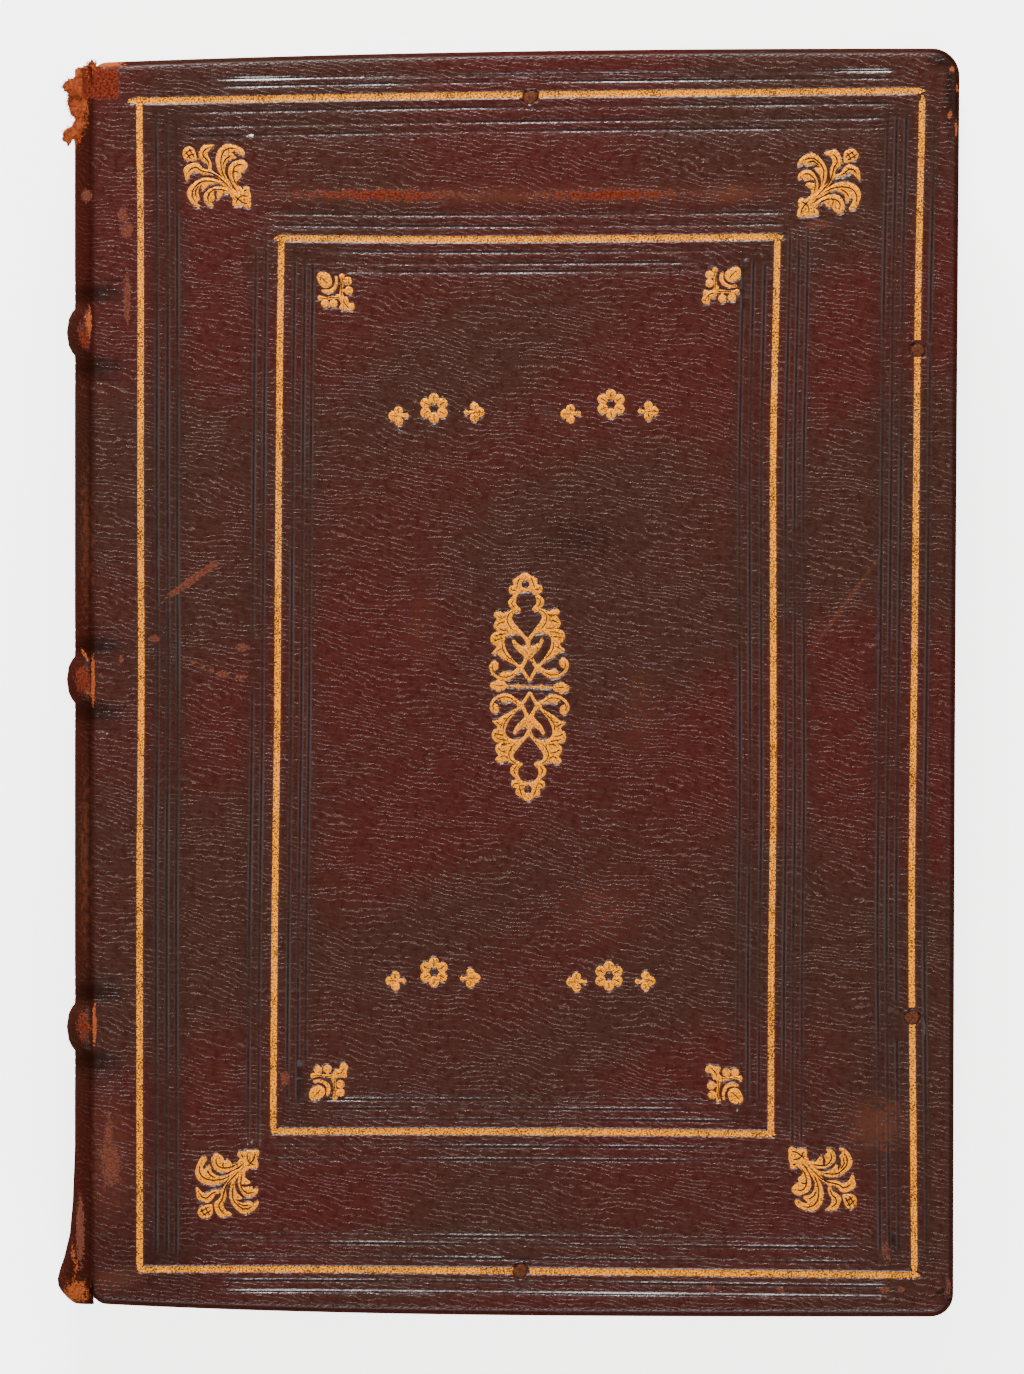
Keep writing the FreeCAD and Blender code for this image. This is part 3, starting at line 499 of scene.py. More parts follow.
    def trefoil(self) -> Tool:
        """A three-lobed leaf with its stalk to the right."""
        stalk = [(-0.4, -0.25), (1.2, -0.2), (1.5, -0.45), (1.9, -0.1), (1.75, 0.4), (1.3, 0.45), (-0.4, 0.3)]
        lobes = [circle(-0.75, 0, 0.85), circle(0.1, 0.9, 0.75), circle(0.1, -0.9, 0.75)]
        ribs = [[(-1.3, 0.05), (-0.6, 0), (0.3, 0.05)], [(0.1, 1.3), (0, 0.8), (0.2, 0.5)]]
        return Tool((stalk, *lobes), veins=tuple(ribbon(p, 0.15) for p in ribs))

    def rosette(self) -> Tool:
        """A plain flower of six petals round an open eye."""
        turns = [math.radians(60 * i + 30) for i in range(6)]
        petals = [circle(1.6 * math.cos(t), 1.6 * math.sin(t), 0.9) for t in turns]
        ribs = [[(0.95 * math.cos(t), 0.95 * math.sin(t)), (2.1 * math.cos(t), 2.1 * math.sin(t))] for t in turns]
        return Tool(tuple(petals), veins=tuple(ribbon(p, 0.16) for p in ribs))

    def arabesque(self) -> Tool:
        """The upper half of the openwork centrepiece, standing on the line y 0."""
        edge = [
            (0, 19), (0.5, 18.95), (1, 18.5), (1.7, 18.2), (2.1, 17.8), (1.95, 17), (2.5, 16.9), (2.8, 16.5),
            (2.7, 15.7), (2, 15.4), (2.6, 14.9), (3, 14.3), (2.9, 13.5), (2.4, 13), (3.2, 12.7), (3.8, 12.4),
            (4.3, 12.75), (5, 12.8), (5.5, 12.4), (5.4, 11.9), (5, 11.6), (5.4, 11), (5.6, 10.3), (5.3, 9.7),
            (4.8, 9.5), (5.5, 9.3), (6.1, 8.8), (6.2, 8), (5.9, 7.3), (5.3, 7), (5.5, 6.5), (6.2, 5.8),
            (5.2, 5.6), (4.6, 5), (3.5, 4.4), (2.4, 3.75), (2, 3.3), (2.5, 2.85), (3.2, 2.6), (4, 2.75),
            (4.6, 2.7), (4.9, 2.2), (5.4, 2.3), (5.8, 2.8), (5.3, 3.1), (5.1, 3.5), (5.1, 4.2), (5.6, 4.6),
            (6.2, 4.4), (6.6, 3.8), (6.6, 3), (6.2, 2.2), (5.4, 1.6), (4.6, 1.25), (3.8, 1.15), (3, 1.45),
            (2.4, 1.9), (1.7, 2.4), (1.2, 2.4), (0.3, 0.95), (0, 0.9),
        ]
        keyhole = [
            (0, 15.9), (0.9, 15.7), (1.5, 15.1), (1.7, 14.4), (1.6, 13.7), (1, 13.1), (1, 12.7), (1.4, 12.5),
            (2.1, 12.3), (2.5, 11.7), (2.3, 11), (1.7, 10.2), (1, 9.3), (0.4, 8.6), (0, 8.2),
        ]
        crescent = [
            (0.35, 7.2), (0.8, 8.2), (1.6, 8.75), (2.6, 8.8), (3.4, 8.5), (3.85, 7.9), (3.9, 7.2), (3.6, 6.2),
            (3, 5.2), (2.3, 4.4), (1.7, 3.75), (1.3, 3.8), (0.95, 4.4), (0.75, 5), (1.3, 5.6), (1.9, 6.2),
            (2.4, 7), (2.65, 7.8), (2.3, 8), (1.9, 7.5), (1.3, 7), (0.75, 6.75),
        ]
        ribs = [
            [(0.9, 18.3), (1.3, 17.3), (1.5, 16.4)], [(1.5, 16.2), (2.2, 16.2), (2.5, 16.6)],
            [(2.1, 14.6), (2.4, 13.9), (1.9, 13.2)], [(2, 12.9), (3, 12.2), (3.3, 11.2), (2.9, 10.2), (2.2, 9.4)],
            [(3.4, 12.1), (4, 11.6), (4.9, 11.9)], [(3.6, 11), (4.6, 10.8), (5.1, 10.3)],
            [(3.1, 9.6), (4.2, 9.6), (4.6, 9.9)], [(3.6, 9), (4.6, 8.9), (5.5, 8.6)],
            [(4.2, 8.2), (5, 8.1), (5.7, 7.8)], [(4.3, 7.3), (4.2, 6.4), (3.6, 5.3), (2.7, 4.5)],
            [(4.4, 6.6), (5, 6.3), (5.5, 6)], [(1, 10.4), (0.6, 9.8), (0.2, 9.4)],
            [(5.9, 4.1), (6.1, 3.3), (5.6, 2.4), (4.4, 1.8), (3.2, 1.95), (2.2, 2.7)],
        ]
        mirrored = [[(-x, y) for x, y in line] for line in ribs]
        lozenge = [(0, 4.8), (0.95, 3.1), (0, 1.4), (-0.95, 3.1)]
        holes = (
            smooth(self._whole(keyhole), 3), smooth(crescent, 3), smooth([(-x, y) for x, y in crescent], 3),
            lozenge, circle(0, 17.1, 0.68),
        )
        return Tool((smooth(self._whole(edge), 2),), holes, tuple(ribbon(p, 0.17) for p in ribs + mirrored))

    def waist(self) -> Tool:
        """The crossbar between the centrepiece's two halves, with a flower at each end."""
        solids: list[Points] = [[(-4.6, -0.17), (4.6, -0.17), (4.6, 0.17), (-4.6, 0.17)]]
        for side in (-1, 1):
            solids += [circle(side * 4.6, 0, 0.75), circle(side * 5.3, 0.55, 0.5), circle(side * 5.3, -0.55, 0.5)]
            solids += [circle(side * 6, 0, 0.65), circle(side * 1.95, 0, 0.45)]
        veins = [ribbon([(side * 4.3, 0), (side * 5, 0.05), (side * 5.8, 0)], 0.15) for side in (-1, 1)]
        return Tool(tuple(solids), veins=tuple(veins))

    def _whole(self, half: Points) -> Points:
        """Closes an outline that starts and ends on the line x 0 with its own mirror image."""
        return half + [(-x, y) for x, y in reversed(half) if x > 0]


def drawn(points: Points, at: Array | float) -> Array | float:
    """Reads a line drawn through a few points, rounded between them.

    Args:
        points: The points, in order along the line.
        at: Places along it.

    Returns:
        The line's place across, at each place along.
    """
    along, across = zip(*points)
    step = 6.0
    spread = [np.interp(np.asarray(at, float) + k * step, along, across) for k in (-1, 0, 1)]
    return (spread[0] + 2 * spread[1] + spread[2]) / 4


@dataclass(frozen=True)
class Groove:
    """One line pressed into the leather beside a track."""

    offset: float
    start: float
    end: float
    width: float = 0.85
    depth: float = 0.2
    seed: int = 0
    flat: bool = False

    def depth_at(self, along: Array) -> Array:
        """How deep the hand pressed it, at places along the line."""
        ends = np.clip((along - self.start) / 3.0, 0, 1) * np.clip((self.end - along) / 3.0, 0, 1)
        return self.depth * ends * (0.85 + 0.3 * wave(along, self.seed + 3, 40.0))

    def shape(self, away: Array) -> Array:
        """The groove's section: 1 on its floor, 0 beyond its walls and a little below 0 on its lips."""
        half = self.width / 2
        if self.flat:
            floor = 1 - np.clip((away - half * 0.55) / (half * 0.45 + 0.08), 0, 1)
            lip = np.exp(-(((away - half - 0.16) / 0.12) ** 2))
            return floor * floor * (3 - 2 * floor) - 0.22 * lip
        floor = 0.5 + 0.5 * np.cos(math.pi * np.clip(away / (half + 0.1), 0, 1))
        return floor - 0.2 * np.exp(-(((away - half - 0.2) / 0.14) ** 2))


@dataclass(frozen=True)
class Track:
    """A gilt line's run over the cover, with the blind lines pressed beside it."""

    run: Run
    points: tuple[Point, ...]
    start: float
    end: float
    grooves: tuple[Groove, ...]
    darkening: float = 0.5

    def at(self, along: Array) -> Array:
        """The gilt line's place across, at places along it."""
        return drawn(list(self.points), along)

    def split(self, x: Array, y: Array) -> tuple[Array, Array]:
        """Gives places along the track and how far across they lie from its gilt line."""
        along, across = (y, x) if self.run is Run.UP else (x, y)
        return along, across - self.at(along)


GILT_WIDTH = 1.3
GILT_DEPTH = 0.25
FRAME_TRACKS = {"outer": (0, 1, 4, 5), "inner": (2, 3, 6, 7)}


def grooves(
    offsets: tuple[float, ...], start: float, end: float, seed: int, width: float = 0.85
) -> tuple[Groove, ...]:
    """Several like grooves beside one track."""
    return tuple(Groove(offset, start, end, width, seed=seed + i) for i, offset in enumerate(offsets))


def tracks() -> tuple[Track, ...]:
    """Every tooled line of a cover, as the binder ran them: none is quite straight.

    FRAME_TRACKS counts them in this order.
    """
    top = ((-66.5, 96.9), (-59, 97.05), (-29, 97.6), (0, 98.0), (30, 98.3), (66.5, 98.65))
    bottom = ((-65, -97.8), (-40, -97.75), (-10, -98.0), (20, -98.3), (65, -98.8))
    inner_top = ((-42, 74.1), (-20, 73.85), (5, 73.95), (30, 74.15), (42, 74.35))
    inner_bottom = ((-42, -74.8), (0, -74.85), (25, -75.0), (41, -75.3))
    left = ((-98, -64.38), (-31, -64.4), (0, -64.08), (30, -64.25), (74, -64.2), (98, -64.5))
    right = ((-98, 64.75), (-46, 64.27), (-30, 64.3), (5, 64.75), (28, 65.0), (66, 65.35), (98, 66.1))
    inner_left = ((-75, -42.15), (-40, -41.9), (-6, -41.45), (20, -41.3), (54, -41.05), (75, -40.75))
    inner_right = ((-75, 40.8), (-45, 40.9), (-21, 41.25), (38, 41.15), (54, 41.5), (75, 41.95))
    return (
        Track(Run.UP, left, -98.4, 97.6, grooves((2.7, 4.5, 6.1), -97, 95.5, 10, 0.9), 1.0),
        Track(Run.UP, right, -98.6, 98.0, grooves((-5.7, -4.2, -2.6, 2.1), -97, 96.5, 20, 0.9), 0.8),
        Track(Run.UP, inner_left, -75.4, 74.4,
              grooves((-4.2, -2.5), -79, 78, 30) + grooves((2.3, 4.0, 5.3), -72, 72, 34), 0.7),
        Track(Run.UP, inner_right, -75.9, 74.7,
              grooves((2.1, 3.6, 5.1), -79, 78, 40) + grooves((-5.6, -3.9, -2.0), -72, 72, 44), 0.7),
        Track(Run.ACROSS, top, -66.4, 66.6,
              grooves((2.2, 3.4), -52.5, 63, 50, 0.7) + grooves((-2.0, -4.4, -6.0), -58.5, 63, 54), 0.25),
        Track(Run.ACROSS, bottom, -64.8, 65.7,
              grooves((2.0, 4.4, 5.7), -56, 58, 60) + grooves((-1.9, -3.7), -52, 62, 64, 0.8), 0.25),
        Track(Run.ACROSS, inner_top, -42.2, 42.9,
              grooves((2.2, 4.1), -45.8, 44.8, 70) + grooves((-2.1, -4.0, -5.4), -36, 36, 74), 0.2),
        Track(Run.ACROSS, inner_bottom, -42.3, 41.6,
              grooves((2.0, 3.8, 5.3), -36, 36, 80) + grooves((-2.5, -4.7), -44, 43.5, 84), 0.2),
    )


def stamped(tool: Tool, *places: tuple[float, ...]) -> tuple[Stamp, ...]:
    """One tool's impressions: each place is X, Y and, where it isn't 0, the turn in degrees."""
    return tuple(Stamp(tool, *place) for place in places)


def stamps() -> dict[str, tuple[Stamp, ...]]:
    """Every ornament of a cover, by the name of the CAD node that it stands for."""
    box = ToolBox()
    return {
        "gilt_corner_fleurons": stamped(
            box.corner_fleuron(), (-51.58, 84.5), (50.53, 83.33, -90), (-49.83, -83.67, 90), (49.5, -82.83, 180)
        ),
        "gilt_small_fleurons": stamped(
            box.small_fleuron(), (-31.75, 65.17), (32.58, 66.2, -90), (-32.92, -66.58, 90), (33.08, -67.0, 180)
        ),
        "gilt_centrepiece": (
            *stamped(box.arabesque(), (0.65, -0.7, 2.5), (0.65, -0.7, 178.9)),
            *stamped(box.waist(), (0.65, -0.7, -2.0)),
        ),
        "gilt_rosettes": stamped(
            box.rosette(), (-15.33, 45.75), (14.17, 46.42), (-15.33, -48.25), (13.83, -48.92)
        ),
        "gilt_trefoils": stamped(
            box.trefoil(), (-21.33, 44.42), (-8.5, 45.08, 180), (7.33, 44.75), (20.5, 45.25, 180),
            (-21.83, -49.75), (-9.17, -49.25, 180), (8.33, -49.92), (20.0, -49.75, 180),
        ),
    }


@dataclass(frozen=True)
class Tie:
    """The worn end of one lost tie, in its hole through the cover."""

    name: str
    x: float
    y: float
    radius: float = 1.35


TIES = (
    Tie("head", 0.67, 97.6),
    Tie("tail", -1.0, -98.0),
    Tie("fore_upper", 65.25, 55.4),
    Tie("fore_lower", 64.35, -55.8),
)


class Wear(Enum):
    """The kinds of worn places on the front cover, by the name of the attribute that marks them."""

    RUBBED = "rubbed"
    TORN = "torn"
    RED = "red"
    FAINT = "faint"
    DARK = "dark"


@dataclass(frozen=True)
class Spot:
    """A worn place, as an ellipse or a rectangle seen from above."""

    x: float
    y: float
    wide: float
    high: float
    turn: float = 0.0
    strength: float = 1.0
    square: bool = False

    def field(self, x: Array, y: Array) -> Array:
        """Gives 1 in the spot's middle, a half on its edge and 0 well outside it."""
        c, s = math.cos(math.radians(self.turn)), math.sin(math.radians(self.turn))
        along = ((x - self.x) * c + (y - self.y) * s) / self.wide
        across = (-(x - self.x) * s + (y - self.y) * c) / self.high
        far = np.maximum(np.abs(along), np.abs(across)) if self.square else np.hypot(along, across)
        if self.square:
            edge = min(self.wide, self.high)
            far = 1 + (far - 1) * edge / 1.2
        return self.strength * np.clip(1 - far / 2, 0, 1)


@dataclass(frozen=True)
class SpotMap:
    """Where the front cover is worn, by kind."""

    spots: dict[Wear, tuple[Spot, ...]]

    def field(self, wear: Wear, x: Array, y: Array) -> Array:
        """Gives the strongest mark of one kind of wear at each place."""
        best = np.zeros_like(x)
        for spot in self.spots[wear]:
            best = np.maximum(best, spot.field(x, y))
        return best


def spots(*rows: tuple[float, ...]) -> tuple[Spot, ...]:
    """Several worn places, each given by its fields in order."""
    return tuple(Spot(*row) for row in rows)


SPOTS = SpotMap({
    Wear.RUBBED: spots(
        (-73.3, 80.9, 1.3, 0.8, 40), (-67.2, 77.9, 0.8, 1.1), (-66.5, 75.4, 1, 1.3), (-66.5, 64.1, 0.5, 4.2),
        (-55.8, 17, 4.9, 0.55, 34.7), (-52.3, 19.4, 1, 0.6, 20), (-62, 7.2, 0.9, 0.5),
        (-67.5, 3.75, 0.4, 0.8), (-47.25, 5.8, 1.1, 0.6), (-45.4, 5, 0.5, 0.4), (-57, 4.2, 0.3, 0.25),
        (-55.4, 3.4, 0.5, 0.35), (-53.9, 2.5, 0.35, 0.3), (-52.4, 1.9, 0.45, 0.35),
        (-50.6, 1.3, 1.1, 0.45, -8), (-47.5, 0.9, 1, 0.35), (59.8, -94.75, 1.3, 3.3, 0, 0.6),
        (30.8, -101.1, 0.6, 0.5), (42.3, -101.25, 0.7, 0.5), (59.8, -101.25, 0.8, 0.6),
        (62.5, -101.25, 0.5, 0.5), (70.4, -101.25, 0.7, 3.2, 0, 0.65), (-74.3, -92, 0.7, 6),
        (-40.2, -65.8, 0.7, 1), (-69.7, -76, 0.8, 6, -5, 0.72), (-69.2, -80.3, 1.7, 4, 0, 0.8),
    ),
    Wear.TORN: spots(
        (-70.7, 103.1, 3.3, 0.6), (-75.6, 97, 2.4, 6.5), (-72.8, 60, 0.4, 2.6),
        (-73.2, 60.6, 0.7, 0.7, 30, 0.8), (-73.1, -1.6, 0.6, 0.9, 0, 0.7), (-73, -58.6, 0.7, 0.9, 0, 0.7),
        (-72.15, 0.5, 0.33, 4.2), (-73.6, 4.6, 0.25, 1.3, 30), (-71.9, -57.2, 0.33, 3.6),
        (-75, -97.4, 0.5, 4.2, 12, 0.75), (-75, -101.5, 2.6, 2.4, 0, 0.74), (71, 102.2, 0.5, 0.5),
        (70.7, 94.6, 0.4, 0.6), (71.7, 92.3, 0.3, 1.8, 0, 0.8), (71.9, 99, 0.25, 1.2, 0, 0.8),
    ),
    Wear.RED: spots(
        (-70.9, 99.9, 3, 2.6, 0, 1, True), (-73.8, 0.4, 1.7, 2.8, 0, 0.8),
        (-73.7, -57.3, 1.6, 2.9, 0, 0.78), (-73.9, 58, 1.5, 2.4, 0, 0.66), (-73.4, 56.4, 0.7, 0.9),
        (-24, 81.4, 18, 1.4, 0, 0.76), (14, 81.1, 16, 1.3, 0, 0.74),
    ),
    Wear.FAINT: spots(
        (52.75, 12.5, 7.7, 0.28, 53.9), (48.8, 76.3, 1.9, 0.6, 10), (34, 81.6, 5, 0.9, 2),
        (-4.3, 81.3, 42, 0.8, 0, 0.7), (58.2, -73.75, 4.2, 3.6, 20, 0.8), (-69.4, -79.2, 2.6, 8, 0, 0.66),
        (-67.8, -99.25, 2.9, 1.4, 8), (-17.7, 9.6, 3.3, 5.8, 0, 0.4), (19, -4.6, 3.3, 8, 0, 0.4),
        (12.3, -37.9, 6.5, 5, 0, 0.4), (-73.2, 24, 1, 12, 0, 0.6), (-73.4, -30, 1, 14, 0, 0.6),
    ),
    Wear.DARK: spots(
        (-72.7, 0, 0.35, 101, 0, 0.6), (9, 24, 6.7, 3.7, 0, 0.6), (69.6, 104, 2.3, 1.5),
        (70.9, 98, 1, 5.5), (-62, -96, 14, 9, 0, 0.55), (70.3, -102.8, 0.9, 0.9),
        (69, -101.5, 0.25, 1.8, -50), (61, -93, 1, 1.4, 0, 0.8), (-72, 52.6, 3.6, 1.6),
        (-72, 64.9, 3.6, 1.4), (-72, -4.9, 3.6, 1.6), (-72, 6.2, 3.6, 1.6), (-72, -63, 3.6, 1.6),
        (-72, -51.6, 3.6, 1.6),
    ),
})


@dataclass(frozen=True)
class Patch:
    """A rectangle of the cover that is modelled finely, round one or more stamps."""

    low_x: float
    high_x: float
    low_y: float
    high_y: float

    @classmethod
    def around(cls, thing: Stamp | Tie, reach: Point) -> "Patch":
        """The rectangle that reaches so far from a stamp or a tie, along X and along Y."""
        return cls(thing.x - reach[0], thing.x + reach[0], thing.y - reach[1], thing.y + reach[1])


LARGE_REACH = (6.1, 6.1)
SMALL_REACH = (3.5, 3.6)
TIE_REACH = (1.9, 1.9)
SCUFFS = (Patch(-58.0, -46.0, 0.0, 8.0), Patch(-61.0, -50.5, 12.5, 21.0), Patch(47.5, 58.0, 5.5, 19.5))


def patches(made: dict[str, tuple[Stamp, ...]]) -> list[Patch]:
    """The finely modelled rectangles: one to a stamp, a row of stamps, a tie or a long scuff."""
    found = [Patch.around(stamp, LARGE_REACH) for stamp in made["gilt_corner_fleurons"]]
    found += [Patch.around(stamp, SMALL_REACH) for stamp in made["gilt_small_fleurons"]]
    middle = made["gilt_centrepiece"][0]
    found.append(Patch(middle.x - 7.5, middle.x + 7.5, middle.y - 19.8, middle.y + 19.6))
    found += [Patch(s.x - 8.5, s.x + 8.8, s.y - 3.3, s.y + 2.9) for s in made["gilt_rosettes"]]
    return [*found, *(Patch.around(tie, TIE_REACH) for tie in TIES), *SCUFFS]


@dataclass
class Relief:
    """The cover's tooled face: how deep it is pressed at any place."""

    rules_start: float = -80.0
    rule_width: float = 0.6
    rule_depth: float = 0.13
    stamp_reach: float = 21.0
    hole_depth: float = 0.5
    tracks: tuple[Track, ...] = field(default_factory=tracks)
    stamps: dict[str, tuple[Stamp, ...]] = field(default_factory=stamps)

    def height(self, x: Array, y: Array, with_stamps: bool = False) -> Array:
        """How far the face lies over its plane, below zero where it is pressed in.

        Args:
            x: Places along X.
            y: Places along Y.
            with_stamps: Whether the stamps' beds are looked at too.

        Returns:
            The height at each place.
        """
        low = np.zeros_like(x)
        for track in self.tracks:
            along, away = track.split(x, y)
            for groove in track.grooves:
                low = np.minimum(low, -groove.depth_at(along) * groove.shape(np.abs(away - groove.offset)))
            bed = Groove(0.0, track.start - 0.3, track.end + 0.3, GILT_WIDTH + 0.1, GILT_DEPTH, 5, True)
            ends = np.clip((along - bed.start) / 0.5, 0, 1) * np.clip((bed.end - along) / 0.5, 0, 1)
            low = np.minimum(low, -GILT_DEPTH * ends * bed.shape(np.abs(away)))
        for place, seed in BAND_LINES:
            rule = Groove(0.0, self.rules_start, RULES_END, self.rule_width, self.rule_depth, seed)
            low = np.minimum(low, -rule.depth_at(x) * rule.shape(np.abs(y - place)))
        return self.stamped(x, y, low) if with_stamps else low

    def stamped(self, x: Array, y: Array, low: Array) -> Array:
        """Presses the stamps' beds and the ties' ragged holes into the ruled face.

        Args:
            x: Places along X.
            y: Places along Y.
            low: The ruled face's height at each place.

        Returns:
            The new height at each place.
        """
        points = np.stack([x, y], 1)
        for stamp in (stamp for group in self.stamps.values() for stamp in group):
            near = np.hypot(x - stamp.x, y - stamp.y) < self.stamp_reach
            deep = np.full(len(x), -9.0)
            deep[near] = stamp.tool.depth_from_rim(stamp.local(points[near]))
            bed = np.clip((deep + 0.22) / 0.2, 0, 1)
            lip = 0.03 * np.exp(-(((deep + 0.32) / 0.14) ** 2))
            low = np.minimum(low, -GILT_DEPTH * bed * bed * (3 - 2 * bed)) + lip * (low > -0.02)
        for tie in TIES:
            far = np.hypot(x - tie.x, y - tie.y)
            turn = np.arctan2(y - tie.y, x - tie.x)
            ragged = tie.radius - 0.05 + 0.16 * np.sin(2 * turn + tie.x) + 0.1 * np.sin(5 * turn + tie.y)
            low = np.minimum(low, -self.hole_depth * np.clip((ragged - far) / 0.45 + 0.5, 0, 1))
        return low

    def burnish(self, x: Array, y: Array) -> Array:
        """How much the tooling has darkened the leather at each place, from 0 to 1."""
        dark = np.zeros_like(x)
        for track in self.tracks:
            along, away = track.split(x, y)
            on = np.clip((along - track.start) / 3, 0, 1) * np.clip((track.end - along) / 3, 0, 1)
            for groove in track.grooves:
                close = np.exp(-(((away - groove.offset) / 0.85) ** 2))
                dark = np.maximum(dark, close * on * track.darkening)
        return dark

    def polish(self, x: Array, y: Array) -> Array:
        """How close each place lies to the middle of a blind line, where the hot tool has polished it."""
        best = np.zeros_like(x)
        for track in self.tracks:
            along, away = track.split(x, y)
            for groove in track.grooves:
                on = np.clip(groove.depth_at(along) / groove.depth, 0, 1)
                best = np.maximum(best, on * np.exp(-(((away - groove.offset) / 0.42) ** 2)))
        for place, _ in BAND_LINES:
            best = np.maximum(best, np.exp(-(((y - place) / 0.32) ** 2)) * (x < RULES_END))
        return best


@dataclass
class Soup:
    """Vertices and faces that are gathered for one mesh, in millimetres."""

    points: list[Triple] = field(default_factory=list)
    faces: list[tuple[int, ...]] = field(default_factory=list)

    def add(self, points: Array) -> int:
        """Adds vertices and gives the first one's number."""
        first = len(self.points)
        self.points += [tuple(float(c) for c in p) for p in points]
        return first

    def table(self, points: Array) -> Array:
        """Adds a table of points, rows by columns by 3, and gives its vertex numbers."""
        rows, columns = points.shape[:2]
        first = self.add(points.reshape(-1, 3))
        return np.arange(first, first + rows * columns).reshape(rows, columns)

    def grid(self, numbers: Array, closed: bool = False) -> None:
        """Adds the quads of a table of vertex numbers, rows by columns."""
        rows, columns = numbers.shape
        for i in range(rows - 1):
            for j in range(columns if closed else columns - 1):
                k = (j + 1) % columns
                self.faces.append((numbers[i, j], numbers[i + 1, j], numbers[i + 1, k], numbers[i, k]))

    def surface(self, points: Array, closed: bool = False) -> Array:
        """Adds a table of points with the quads between them, and gives its vertex numbers."""
        numbers = self.table(points)
        self.grid(numbers, closed)
        return numbers

    def tube(self, line: Array, radii: Array, sides: int = 6) -> None:
        """Adds a closed tube along a line, with its own radius at each point."""
        along = np.gradient(line, axis=0)
        along /= np.linalg.norm(along, axis=1)[:, None] + 1e-9
        guide = np.array([0.31, 0.17, 0.94])
        one = np.cross(along, guide)
        one /= np.linalg.norm(one, axis=1)[:, None] + 1e-9
        two = np.cross(along, one)
        turns = np.arange(sides) * 2 * math.pi / sides
        ring = one[:, None] * np.cos(turns)[None, :, None] + two[:, None] * np.sin(turns)[None, :, None]
        numbers = self.surface(line[:, None] + ring * radii[:, None, None], closed=True)
        self.faces += [tuple(numbers[0]), tuple(numbers[-1][::-1])]

    def build(
        self, name: str, side: Side = Side.FRONT, soft: bool = True, fields: dict[str, Array] | None = None
    ) -> Piece:
        """Makes the mesh, mirrored for the back cover, with its rest places kept as an attribute.

        Args:
            name: The piece's name.
            side: Which cover it is for.
            soft: Whether it is shaded smooth.
            fields: Values at the vertices that the finish reads, by name.

        Returns:
            The new object.
        """
        points = np.array(self.points, float)
        faces = [tuple(int(i) for i in f) for f in self.faces]
        if side is Side.BACK:
            points[:, 2] = SIZE.thickness - points[:, 2]
            faces = [f[::-1] for f in faces]
        mesh = bpy.data.meshes.new(name)
        mesh.from_pydata((points * MM).tolist(), [], faces)
        mesh.update()
        rest = mesh.attributes.new("rest", "FLOAT_VECTOR", "POINT")
        rest.data.foreach_set("vector", points.astype(np.float32).ravel())
        for field_name, values in (fields or {}).items():
            vector = values.ndim == 2
            made = mesh.attributes.new(field_name, "FLOAT_VECTOR" if vector else "FLOAT", "POINT")
            made.data.foreach_set("vector" if vector else "value", values.astype(np.float32).ravel())
        mesh.polygons.foreach_set("use_smooth", [soft] * len(mesh.polygons))
        made = bpy.data.objects.new(name, mesh)
        bpy.context.scene.collection.objects.link(made)
        log.info("%s: %d vertices, %d faces", name, len(points), len(faces))
        return made


STATIONS = np.linspace(-106.0, 106.0, 107)


